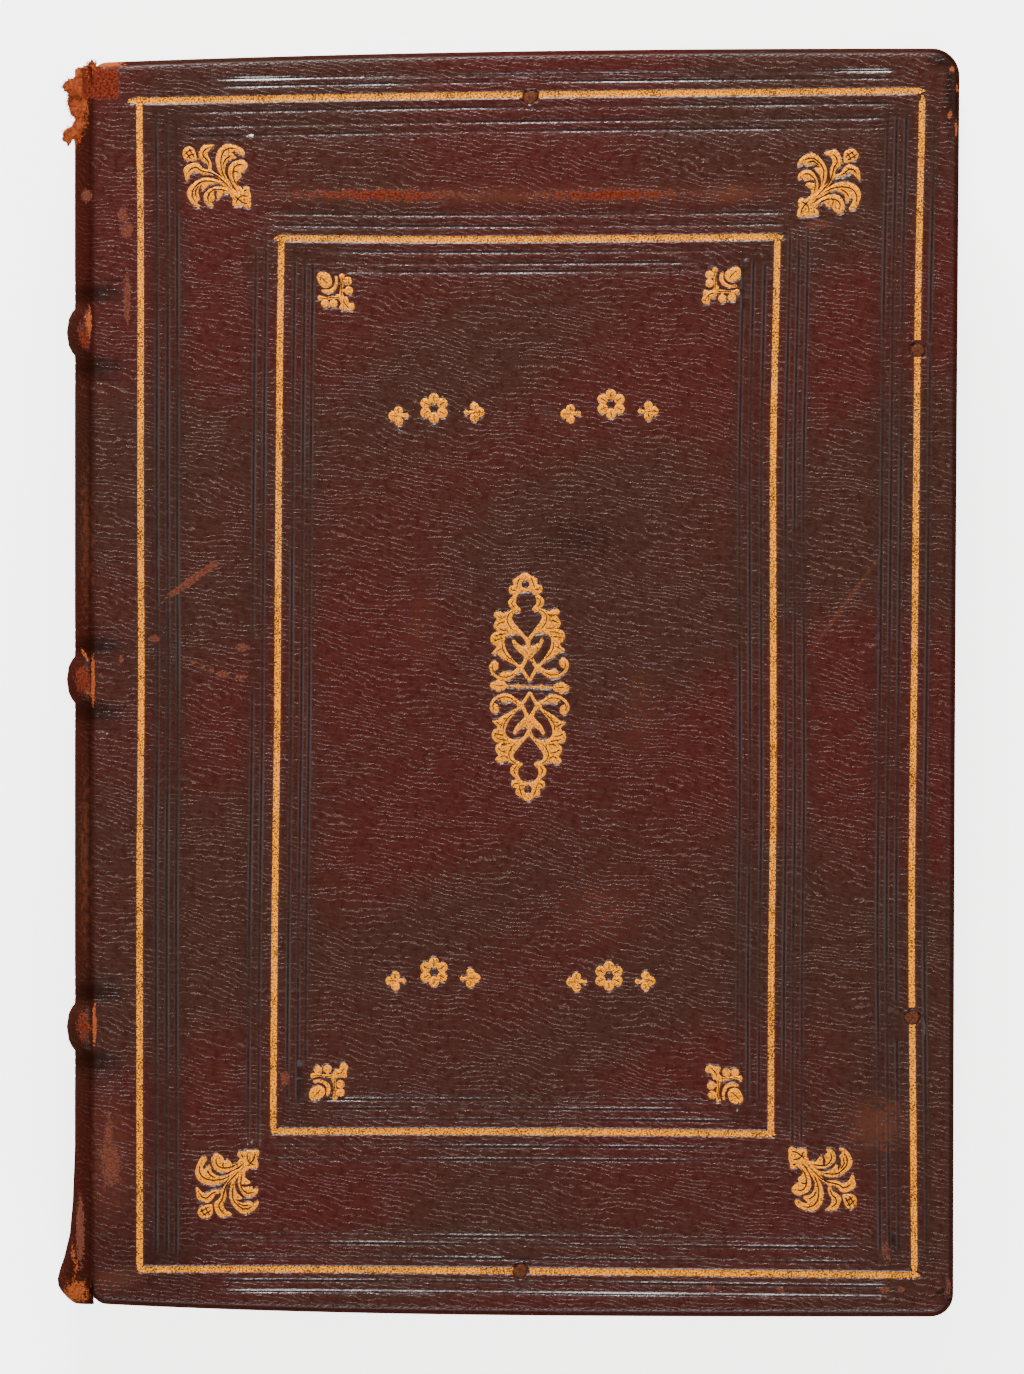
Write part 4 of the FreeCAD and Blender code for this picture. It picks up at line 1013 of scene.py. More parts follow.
@dataclass
class CoverSkin:
    """A cover's goatskin with half of the spine's, as one sheet that bends at the joint.

    The flat face ends a rim's width in from the edges. Its coarse grid follows the tooled lines, with further
    lines at scuffs and close to its ends, and a fine grid takes its place round the stamps: with a margin
    between the two, or at least the least gap where the margin would end in a groove. The rim's profile is
    its inset and height from the face outwards, and the spine's is its X and height.
    """

    side: Side
    relief: Relief
    soup: Soup = field(default_factory=Soup)
    rim_width: float = 2.6
    coarse_step: float = 2.4
    fine_step: float = 0.24
    margin: float = 0.3
    least_gap: float = 0.06
    groove_level: float = -0.05
    scuffed_x: tuple[float, ...] = (
        30.2, 30.8, 31.4, 41.7, 42.3, 42.9, 59.2, 59.8, 60.4, 62.0, 62.5, 63.0, 69.2, 69.6
    )
    end_lines: tuple[float, ...] = (0.3, 0.6, 0.95, 1.35)
    rim_profile: tuple[Point, ...] = (
        (1.7, 32.98), (1.1, 32.9), (0.6, 32.66), (0.25, 32.3), (0.05, 31.8), (0.0, 30.6), (0.0, 29.5),
        (0.12, 29.05), (0.5, 28.82), (3.0, 28.8), (13.0, 28.8), (13.0, 29.18),
    )
    spine_profile: tuple[Point, ...] = (
        (-72.58, 32.66), (-72.76, 32.52), (-73.0, 32.5), (-73.35, 32.32), (-73.75, 31.92), (-74.15, 31.28),
        (-74.55, 30.3), (-74.88, 29.0), (-75.15, 27.2), (-75.38, 24.8), (-75.56, 21.6), (-75.66, 19.0),
        (-75.7, 16.5),
    )
    tail_rows: tuple[float, ...] = (-103.65, -103.45, -103.1, -102.6, -102.0, -101.5)
    head_rows: tuple[float, ...] = (101.2, 101.8, 102.4, 102.9)
    ruled_x: float = -74.0
    torn_from: float = 99.5
    torn_length: float = 3.4

    def family(self, run: Run) -> Array:
        """Grid lines that run one way over the cover: each is its place across at every station.

        Args:
            run: Which way they run.

        Returns:
            The lines in order, a line to a row.
        """
        keys: list[Array] = []
        for track in self.relief.tracks:
            if track.run is not run:
                continue
            centre = track.at(STATIONS)
            for groove in track.grooves:
                half = groove.width / 2
                walls = (-half - 0.14, -half * 0.7, 0.0, half * 0.7, half + 0.14)
                keys += [centre + groove.offset + d for d in walls]
            half = GILT_WIDTH / 2
            walls = (-half - 0.22, -half - 0.05, -half + 0.2, 0.0, half - 0.2, half + 0.05, half + 0.22)
            keys += [centre + d for d in walls]
        if run is Run.UP:
            first, last = np.full_like(STATIONS, SIZE.spine_x), SIZE.fore_edge(STATIONS) - self.rim_width
            wanted = [*(SIZE.spine_x + np.arange(0.5, 7, 0.5)), *self.scuffed_x]
        else:
            first, last = SIZE.tail_y(STATIONS) + self.rim_width, SIZE.head_y(STATIONS) - self.rim_width
            wanted = list(np.arange(93.5, 100.4, 0.6))
            level = [place + d for place, _ in BAND_LINES for d in (-0.3, 0.0, 0.3)]
            level += [band + d for band in BANDS for d in (-3.9, -3.3, -2.2, 0.0, 2.2, 3.3, 3.9)]
            keys += [np.full_like(STATIONS, at) for at in level]
        for at in wanted:
            if all(np.abs(line - at).min() > 0.2 for line in keys):
                keys.append(np.full_like(STATIONS, at))
        keys += [first + d for d in self.end_lines] + [last - d for d in self.end_lines]
        keys = [line for line in keys if first.mean() < line.mean() < last.mean()]
        keys = self.ordered([first, *sorted(keys, key=lambda line: float(line.mean())), last])
        lines = [keys[0]]
        for line in keys[1:]:
            gap = float((line - lines[-1]).mean())
            if gap < 0.07:
                continue
            parts = max(1, round(gap / self.coarse_step))
            before = lines[-1]
            lines += [before + (line - before) * k / parts for k in range(1, parts + 1)]
        return np.array(lines)

    @staticmethod
    def ordered(lines: list[Array]) -> list[Array]:
        """Keeps neighbouring lines from crossing: the first and the last stay where they are."""
        made = [lines[0]]
        for line in lines[1:]:
            made.append(np.maximum(line, made[-1] + 0.05))
        made[-1] = lines[-1]
        for i in range(len(made) - 2, 0, -1):
            made[i] = np.minimum(made[i], made[i + 1] - 0.05)
        return made

    def cross(self, up: Array, across: Array) -> tuple[Array, Array]:
        """Where the two families of grid lines meet.

        Args:
            up: The lines that run up the cover.
            across: The lines that run across it.

        Returns:
            The places along X and along Y.
        """
        x = np.repeat(up.mean(1)[:, None], len(across), 1)
        y = np.repeat(across.mean(1)[None, :], len(up), 0)
        for _ in range(4):
            x = np.array([np.interp(y[i], STATIONS, up[i]) for i in range(len(up))])
            y = np.array([np.interp(x[:, j], STATIONS, across[j]) for j in range(len(across))]).T
        return x, y

    def face(self) -> tuple[Array, Array, Array]:
        """Adds the cover's tooled face and gives its grid's vertex numbers and places."""
        x, y = self.cross(self.family(Run.UP), self.family(Run.ACROSS))
        height = self.relief.height(x.ravel(), y.ravel()).reshape(x.shape)
        shoulder = np.clip((SIZE.spine_x + 1.1 - x) / 1.1, 0, 1)
        numbers = self.soup.table(np.stack([x, y, LEATHER_TOP + height - 0.14 * shoulder**2], 2))
        gone = np.zeros((x.shape[0] - 1, x.shape[1] - 1), bool)
        for patch in patches(self.relief.stamps):
            self.fine(patch, x, y, numbers, gone)
        for i in range(x.shape[0] - 1):
            for j in range(x.shape[1] - 1):
                if not gone[i, j]:
                    self.soup.faces.append(
                        (numbers[i, j], numbers[i + 1, j], numbers[i + 1, j + 1], numbers[i, j + 1])
                    )
        return numbers, x, y

    def fine(self, patch: Patch, x: Array, y: Array, numbers: Array, gone: Array) -> None:
        """Puts a fine grid in place of the coarse cells round a stamp, and joins the two.

        Args:
            patch: The rectangle that is modelled finely.
            x: The coarse grid's places along X, rows from the spine to the fore-edge.
            y: Its places along Y, columns from tail to head.
            numbers: Its vertex numbers.
            gone: Which of its cells are taken out: the ones under the patch are added.
        """
        left, right = self.beside(x, y, x, patch.low_x, 1), self.beside(x, y, x, patch.high_x, -1)
        low, high = self.beside(x.T, y.T, y.T, patch.low_y, 1), self.beside(x.T, y.T, y.T, patch.high_y, -1)
        gone[left:right, low:high] = True
        xs, ys = (
            np.linspace(start, end, round((end - start) / self.fine_step) + 1)
            for start, end in ((patch.low_x, patch.high_x), (patch.low_y, patch.high_y))
        )
        fx, fy = (a.T for a in np.meshgrid(xs, ys))
        z = LEATHER_TOP + self.relief.height(fx.ravel(), fy.ravel(), with_stamps=True).reshape(fx.shape)
        inner = self.soup.surface(np.stack([fx, fy, z], 2))
        self.stitch(self.rim_loop(numbers[left:right + 1, low:high + 1]), self.rim_loop(inner))

    def beside(self, x: Array, y: Array, across: Array, edge: float, inwards: int) -> int:
        """Finds the coarse grid line beside one edge of a patch, in no groove where there is room for it.

        Args:
            x: The grid's places along X, a line to a row.
            y: Its places along Y, in the same way.
            across: Whichever of the two tells the lines apart.
            edge: The patch's edge.
            inwards: The step in row number towards the patch.

        Returns:
            The line's row.
        """
        past = ((across - edge) * inwards).max(1)
        clear = np.where(past < -self.margin)[0]
        row = int(clear[-1] if inwards > 0 else clear[0])
        while self.sunk(x[row], y[row]) and past[row + inwards] < -self.least_gap:
            row += inwards
        return row

    def sunk(self, x: Array, y: Array) -> bool:
        """Whether a grid line runs in a groove."""
        return float(np.median(self.relief.height(x, y))) < self.groove_level

    @staticmethod
    def rim_loop(numbers: Array) -> list[int]:
        """The vertex numbers round a table's edge, anticlockwise."""
        loop = [*numbers[:, 0], *numbers[-1, 1:], *numbers[-2::-1, -1], *numbers[0, -2:0:-1]]
        return [int(n) for n in loop]

    def stitch(self, outer: list[int], inner: list[int]) -> None:
        """Fills the ring between two loops of vertices with triangles.

        Args:
            outer: The coarse grid's vertex numbers round the hole, anticlockwise.
            inner: The fine grid's, in the same way.
        """
        every = outer + inner
        flat = [self.soup.points[n][:2] for n in every]
        n = len(outer)
        edges = [(i, (i + 1) % n) for i in range(n)]
        edges += [(n + i, n + (i + 1) % len(inner)) for i in range(len(inner))]
        points, _, faces, origins, *_ = delaunay_2d_cdt([Vector(p) for p in flat], edges, [], 0, 1e-7)
        middles = np.array([np.mean([points[i][:] for i in f], axis=0) for f in faces])
        keep = inside(middles, [tuple(p) for p in flat[:n]]) & ~inside(middles, [tuple(p) for p in flat[n:]])
        for face, kept in zip(faces, keep):
            if kept:
                self.soup.faces.append(tuple(every[origins[i][0]] for i in face))

    def rim(self, numbers: Array, x: Array, y: Array) -> None:
        """Turns the leather over the head, fore-edge and tail, and in over the board.

        Args:
            numbers: The face's vertex numbers.
            x: Its places along X.
            y: Its places along Y.
        """
        loop = [*numbers[:, 0], *numbers[-1, 1:], *numbers[-2::-1, -1]]
        flat_x = np.array([*x[:, 0], *x[-1, 1:], *x[-2::-1, -1]])
        flat_y = np.array([*y[:, 0], *y[-1, 1:], *y[-2::-1, -1]])
        s, t = SIZE.squared(flat_x, flat_y)
        s = np.maximum(s, 0)
        near = SIZE.spine_radius
        drop = near - np.sqrt(np.clip(near**2 - np.clip(near - s, 0, near) ** 2, 0, None))
        rows = [np.array(loop, int)]
        radius = np.where(t > SIZE.height / 2, SIZE.fore_radius, SIZE.tail_radius)
        for inset, z in self.rim_profile:
            if inset < SIZE.tail_radius:
                core_s = np.clip(s, 0, SIZE.width - radius)
                core_t = np.clip(t, radius, SIZE.height - radius)
                out_s, out_t = s - core_s, t - core_t
                length = np.hypot(out_s, out_t) + 1e-9
                reach = radius - inset - drop
                new_s, new_t = core_s + out_s / length * reach, core_t + out_t / length * reach
            else:
                new_s = np.clip(s, 0, SIZE.width - inset)
                new_t = np.clip(t, inset, SIZE.height - inset)
            px, py = SIZE.slanted(new_s, new_t)
            rows.append(self.soup.table(np.stack([px, py, np.full_like(px, z)], 1)[None])[0])
        self.soup.grid(np.array(rows))

    def flare(self, y: Array) -> Array:
        """How far the spine's leather stands out beyond its round at places along the book, at the tail cap."""
        points = [(-103.7, 0.3), (-103.2, 1.0), (-102.2, 2.0), (-101.2, 2.75), (-100.0, 2.9), (-98.4, 2.5),
                  (-96.2, 1.75), (-92.5, 0.85), (-87.0, 0.35), (-78.0, 0.0)]
        return np.interp(y, *zip(*points))

    def bulge(self, y: Array) -> Array:
        """How far the raised bands stand out at places along the book."""
        out = np.zeros_like(y)
        for band in BANDS:
            across = np.clip(np.abs(y - band) / (SIZE.band_width / 2), 0, 1)
            out = np.maximum(out, SIZE.band_height * np.sqrt(1 - across**2) ** 1.2)
        return out

    def spine(self, numbers: Array, rows: Array) -> None:
        """Carries the leather over the joint and round to the middle of the spine, and closes its edges.

        Args:
            numbers: The face's vertex numbers.
            rows: The places along Y of its edge at the joint.
        """
        tail, head = np.array(self.tail_rows), np.array(self.head_rows)
        every = np.concatenate([tail[tail < rows[0] - 0.2], rows, head[head > rows[-1] + 0.2]])
        before = int((tail < rows[0] - 0.2).sum())
        profile = np.array(self.spine_profile)
        along = np.gradient(profile, axis=0)
        along /= np.linalg.norm(along, axis=1)[:, None]
        normal = np.stack([along[:, 1], -along[:, 0]], 1)
        away = np.clip((SIZE.spine_x - 0.35 - profile[:, 0]) / 0.5, 0, 1)
        bulge = self.bulge(every)[:, None]
        sink = -self.relief.height(np.full_like(every, self.ruled_x), every)[:, None]
        out = (bulge - sink) * away[None, :]
        px = profile[None, :, 0] + normal[None, :, 0] * out
        pz = profile[None, :, 1] + normal[None, :, 1] * out * 0.5
        pz = pz + (1 - away[None, :]) * np.clip(bulge, 0, 0.45)
        steep = np.clip((33.2 - profile[None, :, 1]) / 1.2, 0.25, 1)
        px = px - self.flare(every)[:, None] * steep * np.clip(away[None, :] + 0.2, 0, 1)
        py = np.repeat(every[:, None], px.shape[1], 1)
        ragged = 0.5 * wave(profile[:, 1] * 1.7, 5, 3.0)[None, :] - 0.3
        at_head = np.clip((every[:, None] - self.torn_from) / self.torn_length, 0, 1)
        py = py + at_head * ragged
        pz = np.minimum(pz, LEATHER_TOP)
        outer = self.soup.surface(np.stack([px, py, pz], 2))
        joint = np.stack([numbers[0], outer[before:before + len(rows), 0]])
        self.soup.grid(joint.T)
        thick = SIZE.spine_leather
        ix = px - normal[None, :, 0] * thick
        iz = pz - normal[None, :, 1] * thick
        ix = np.where(away[None, :] > 0.5, ix, np.maximum(ix, SIZE.spine_x - 0.28))
        inner = self.soup.surface(np.stack([ix, py, iz], 2)[:, ::-1])[:, ::-1]
        for row in (0, -1):
            pair = np.stack([outer[row], inner[row]])
            if row == 0:
                pair = pair[::-1]
            self.soup.grid(pair)
        self.soup.grid(np.stack([inner[:, 0], outer[:, 0]]))

    def build(self) -> Piece:
        """Makes the whole sheet."""
        numbers, x, y = self.face()
        self.rim(numbers, x, y)
        self.spine(numbers, y[0])
        return self.soup.build(f"goatskin_{self.side.suffix}", self.side, fields=self.fields())

    def fields(self) -> dict[str, Array]:
        """Gives what the finish reads at each vertex: the tooling's darkening, the edges and the joint that get
        painted shade, and each kind of wear.

        Returns:
            The values by the name of the attribute; "sheet" is the place on the leather laid out flat.
        """
        points = np.array(self.soup.points)
        x, y, z = points.T
        down = np.clip(LEATHER_TOP - z, 0, None)
        right, left = x > SIZE.fore_edge(y) - self.rim_width, x < SIZE.spine_x
        above, below = y > SIZE.head_y(x) - self.rim_width, y < SIZE.tail_y(x) + self.rim_width
        outside = right | left | above | below
        far = 0.0 if self.side is Side.FRONT else 400.0
        u, v = x + down * right - down * left + far, y + down * above - down * below
        made = {
            "sheet": np.column_stack([u, v, np.zeros_like(u)]),
            "tone": clouds(u, v, 3, 26.0),
            "mark": self.relief.burnish(x, y) * (z > 32),
            # The turned-over edges, the spine's side and the joint: the finish darkens them as painted shade and
            # dulls them.
            "edge": np.maximum(np.clip(down / 0.3, 0, 1) * outside, np.exp(-(((x + 72.3) / 0.6) ** 2))),
            "line": self.relief.polish(x, y) * (z > 32),
        }
        shown = (z > 24) & (self.side is Side.FRONT)
        for wear in Wear:
            made[wear.value] = SPOTS.field(wear, x, y) * shown
        return made


@dataclass
class Gilding:
    """The gold on one cover: the two framing lines and every ornament, lying in their pressed beds."""

    side: Side
    relief: Relief
    line_step: float = 0.35
    ornament_step: float = 0.32
    columns: tuple[float, ...] = (-1.0, -0.8, -0.35, 0.0, 0.35, 0.8, 1.0)
    levels: tuple[float, ...] = (-0.155, -0.175, -0.2, -0.205, -0.2, -0.175, -0.155)
    overlap: float = 0.012

    def line(self, soup: Soup, track: Track, seed: int) -> None:
        """Adds one gilt line, broken where a tie went through it.

        Args:
            soup: Where the line's faces go.
            track: The line's run.
            seed: Which ragged edge it gets.
        """
        count = round((track.end - track.start) / self.line_step) + 1
        along = np.linspace(track.start, track.end, count)
        rng = np.random.default_rng(seed)
        half = GILT_WIDTH / 2 * (1 + 0.1 * wave(along, seed, 25.0))
        half = half * np.clip(0.25 + np.minimum(along - track.start, track.end - along) / 2.2, 0, 1)
        columns = np.array(self.columns)
        jitter = rng.normal(0, 0.07, (count, len(columns))) * (np.abs(columns) == 1)
        place = track.at(along)[:, None] + half[:, None] * columns + jitter
        lift = self.overlap if track.run is Run.ACROSS else 0.0
        z = LEATHER_TOP + np.repeat(np.array(self.levels)[None, :], count, 0) + lift
        run = np.repeat(along[:, None], len(columns), 1)
        x, y = (place, run) if track.run is Run.UP else (run, place)
        numbers = soup.table(np.stack([x, y, z], 2))
        for i in range(count - 1):
            if any(math.hypot(x[i, 3] - tie.x, y[i, 3] - tie.y) < tie.radius for tie in TIES):
                continue
            for j in range(len(columns) - 1):
                quad = (numbers[i, j], numbers[i, j + 1], numbers[i + 1, j + 1], numbers[i + 1, j])
                soup.faces.append(quad if track.run is Run.UP else quad[::-1])

    def frames(self) -> list[Piece]:
        """Makes the outer and the inner frame, each as one piece."""
        made = []
        for name, kept in FRAME_TRACKS.items():
            soup = Soup()
            for index in kept:
                self.line(soup, self.relief.tracks[index], index + 1)
            piece = soup.build(f"gold_{name}_frame_{self.side.suffix}", self.side)
            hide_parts(f"gilt_{name}_frame_{self.side.suffix}")
            made.append(piece)
        return made

    def ornament(self, name: str, group: tuple[Stamp, ...]) -> Piece:
        """Makes one kind of ornament in all its places, as one piece."""
        soup = Soup()
        filled: dict[int, tuple[Array, list[tuple[int, int, int]], Array]] = {}
        for stamp in group:
            if id(stamp.tool) not in filled:
                flat, faces = stamp.tool.triangles(self.ornament_step)
                filled[id(stamp.tool)] = (flat, faces, stamp.tool.depth_from_rim(flat))
            flat, faces, deep = filled[id(stamp.tool)]
            round_up = np.clip(deep / 0.4, 0, 1)
            place = stamp.world(flat)
            z = LEATHER_TOP - 0.185 + 0.12 * round_up * (2 - round_up)
            first = soup.add(np.column_stack([place, z]))
            soup.faces += [tuple(first + i for i in face) for face in faces]
        piece = soup.build(name.replace("gilt", "gold") + f"_{self.side.suffix}", self.side)
        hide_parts(f"{name}_{self.side.suffix}")
        return piece

    def build(self) -> list[Piece]:
        """Makes every gilt piece of the cover."""
        made = self.frames()
        made += [self.ornament(name, group) for name, group in self.relief.stamps.items()]
        return made


@dataclass
class TieStub:
    """What is left of one tie: a frayed plug in its hole."""

    side: Side
    tie: Tie
    play: float = 0.12
    foot: float = 29.3
    rings: int = 7
    sides: int = 28
    fibres: int = 16

    def build(self) -> Piece:
        """Makes the plug as a rough, cracked dome with a few loose fibres."""
        soup = Soup()
        seed = sum(map(ord, self.tie.name))
        rng = random.Random(seed)
        turns = np.arange(self.sides) * 2 * math.pi / self.sides
        rows = []
        for i in range(self.rings + 1):
            share = i / self.rings
            radius = (self.tie.radius - self.play) * math.sin(share * math.pi / 2)
            rough = 1 + 0.1 * wave(turns * 3, seed + i, 5.0) * share
            crack = 0.4 * np.exp(-(((turns - 2.2) / 0.9) ** 2)) * math.exp(-(((share - 0.72) / 0.14) ** 2))
            lift = LEATHER_TOP - 0.08 - 0.3 * share**4 - crack + 0.05 * wave(turns * 5 + i, seed, 3.0)
            x = self.tie.x + radius * rough * np.cos(turns)
            y = self.tie.y + radius * rough * np.sin(turns)
            rows.append(np.stack([x, y, lift], 1))
        low = rows[-1].copy()
        low[:, 2] = self.foot
        rows.append(low)
        soup.surface(np.array(rows)[:, ::-1], closed=True)
        for _ in range(self.fibres):
            turn = rng.uniform(0, 6.28)
            reach = rng.uniform(0.3, 1.15)
            root_x, root_y = self.tie.x + 0.5 * math.cos(turn), self.tie.y + 0.5 * math.sin(turn)
            start = np.array([root_x, root_y, LEATHER_TOP - 0.3])
            end = start + np.array([reach * math.cos(turn + 0.6), reach * math.sin(turn + 0.6), 0.25])
            t = np.linspace(0, 1, 5)[:, None]
            soup.tube(start + (end - start) * t, np.linspace(0.09, 0.03, 5), 5)
        piece = soup.build(f"tie_plug_{self.tie.name}_{self.side.suffix}", self.side)
        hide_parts(f"tie_stub_{self.tie.name}_{self.side.suffix}")
        return piece


@dataclass(frozen=True)
class Shred:
    """A torn scrap of leather: its outline seen from above and how high it lies."""

    outline: tuple[Point, ...]
    level: float


@dataclass
class TornHead:
    """The frayed leather where the head cap has torn away from the front joint."""

    fibre_count: int = 90
    thickness: float = 0.6
    shreds: tuple[Shred, ...] = (
        Shred(((-73.2, 102.6), (-72.5, 103.6), (-71.6, 102.9), (-71.2, 101.8), (-71.8, 100.9), (-72.9, 100.6)), 32.4),
        Shred(((-75.4, 100.9), (-74.6, 101.7), (-73.6, 101.2), (-73.5, 99.6), (-73.2, 97.9), (-74.2, 97.2),
               (-75.6, 97.6), (-76.6, 98.4), (-77.3, 99.3), (-76.7, 100.4)), 31.6),
        Shred(((-76.4, 98.0), (-75.2, 98.2), (-73.6, 97.4), (-72.9, 95.6), (-73.4, 93.8), (-74.6, 93.6),
               (-75.9, 94.8), (-76.4, 96.4)), 31.2),
        Shred(((-74.9, 94.4), (-73.2, 94.6), (-71.9, 93.8), (-72.4, 92.4), (-73.6, 91.4), (-74.6, 90.2),
               (-75.6, 90.6), (-76.3, 89.6), (-77.4, 90.8), (-76.9, 92.2), (-75.8, 92.9)), 31.5),
    )

    def fibres(self, soup: Soup, rng: random.Random) -> None:
        """Adds loose fibres round the scraps."""
        for shred in self.shreds:
            rim = np.array(smooth(list(shred.outline), 5))
            middle = rim.mean(0)
            for _ in range(self.fibre_count):
                at = rim[rng.randrange(len(rim))] * 0.85 + middle * 0.15
                out = (at - middle) / (np.linalg.norm(at - middle) + 1e-6)
                swing = rng.uniform(-0.9, 0.9)
                turn = np.array([[math.cos(swing), -math.sin(swing)], [math.sin(swing), math.cos(swing)]])
                reach = rng.uniform(0.25, 0.95)
                t = np.linspace(0, 1, 6)[:, None]
                path = at + (turn @ out) * reach * t + np.array([-out[1], out[0]]) * rng.uniform(-0.3, 0.3) * t**2
                z = shred.level + rng.uniform(-0.5, 0.35) + rng.uniform(-0.3, 0.3) * t
                soup.tube(np.column_stack([path, z]), np.linspace(rng.uniform(0.05, 0.11), 0.02, 6), 5)

    def build(self) -> Piece:
        """Makes the scraps and fibres as one piece on the spine."""
        soup = Soup()
        rng = random.Random(7)
        for k, shred in enumerate(self.shreds):
            rim = np.array(smooth(list(shred.outline), 6))
            middle = rim.mean(0)
            ragged = 1 + 0.09 * wave(np.arange(len(rim)), 30 + k, 3.0)
            rows = []
            for share in (0.02, 0.25, 0.5, 0.75, 0.93, 1.0):
                flat = middle + (rim - middle) * share * (1 + (ragged - 1) * share)[:, None]
                lump = 0.22 * wave(flat[:, 0] * 2.3 + flat[:, 1] * 1.9, 50 + k, 2.2)
                rows.append(np.column_stack([flat, shred.level + lump - 0.5 * share**4]))
            under = rows[-1].copy()
            under[:, 2] -= self.thickness
            rows.append(under)
            soup.surface(np.array(rows), closed=True)
        self.fibres(soup, rng)
        return soup.build("torn_head_fibres")


@dataclass
class Endband:
    """A sewn endband: thread wound closely round its core, at the head (end 1) or the tail (end -1)."""

    name: str
    end: int
    inset: float = 1.0
    turns: int = 44
    steps: int = 6
    sides: int = 12
    bead: float = 0.07

    def build(self) -> Piece:
        """Makes the winding, with a bead of thread to each turn."""
        soup = Soup()
        radius = SIZE.back_radius - self.inset
        half = math.asin(SIZE.text_half / SIZE.back_radius)
        count = self.turns * self.steps
        table = []
        for i in range(count + 1):
            angle = half * (2 * i / count - 1)
            swell = SIZE.endband_radius - self.bead + self.bead * abs(math.sin(math.pi * i / self.steps))
            row = []
            for k in range(self.sides):
                turn = 2 * math.pi * k / self.sides
                r = radius + swell * math.cos(turn)
                y = self.end * SIZE.endband_y + swell * math.sin(turn)
                row.append((SIZE.arc_centre - r * math.cos(angle), y, SIZE.middle + r * math.sin(angle)))
            table.append(row)
        numbers = soup.surface(np.array(table), closed=True)
        soup.faces += [tuple(numbers[0]), tuple(numbers[-1][::-1])]
        piece = soup.build(f"{self.name}_winding")
        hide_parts(f"{self.name}_sewing")
        return piece


@dataclass
class LeafBlock:
    """The sewn leaves, swollen here and there, with a hollow fore-edge and a rounded back."""

    half_y: float = 101.4
    fore_x: float = 68.9
    hollow: float = 1.6
    levels: int = 97

    def build(self) -> Piece:
        """Makes the block as a skin over its six sides, its edges uneven like cut leaves."""
        soup = Soup()
        levels = np.linspace(-1, 1, self.levels)
        z = SIZE.middle + SIZE.text_half * levels
        rough = np.random.default_rng(4).normal(0, 0.035, len(levels)) + 0.05 * wave(levels * 40, 8, 9.0)
        fore = self.fore_x - self.hollow * (1 - levels**2) + np.minimum(rough, 0.0)
        back = SIZE.arc_centre - np.sqrt(SIZE.back_radius**2 - (SIZE.text_half * levels) ** 2)
        ends = self.half_y + np.minimum(np.roll(rough, 11), 0.0)
        steps = np.linspace(0, 1, 9)
        ring = []
        for k, level in enumerate(levels):
            x0, x1, y1 = back[k], fore[k], ends[k]
            row = [(x0 + (x1 - x0) * t, -y1, z[k]) for t in steps[:-1]]
            row += [(x1, -y1 + 2 * y1 * t, z[k]) for t in steps[:-1]]
            row += [(x1 + (x0 - x1) * t, y1, z[k]) for t in steps[:-1]]
            row += [(x0, y1 - 2 * y1 * t, z[k]) for t in steps[:-1]]
            ring.append(row)
        numbers = soup.surface(np.array(ring)[::-1], closed=True)
        soup.faces += [tuple(numbers[0][::-1]), tuple(numbers[-1])]
        piece = soup.build("leaves", soft=False)
        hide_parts("text_block")
        return piece


def linear(colour: Colour) -> tuple[float, float, float, float]:
    """Turns a screen colour of 0 to 255 into the renderer's linear values."""
    made = []
    for part in colour:
        c = part / 255
        made.append(c / 12.92 if c <= 0.04045 else ((c + 0.055) / 1.055) ** 2.4)
    return (*made, 1.0)


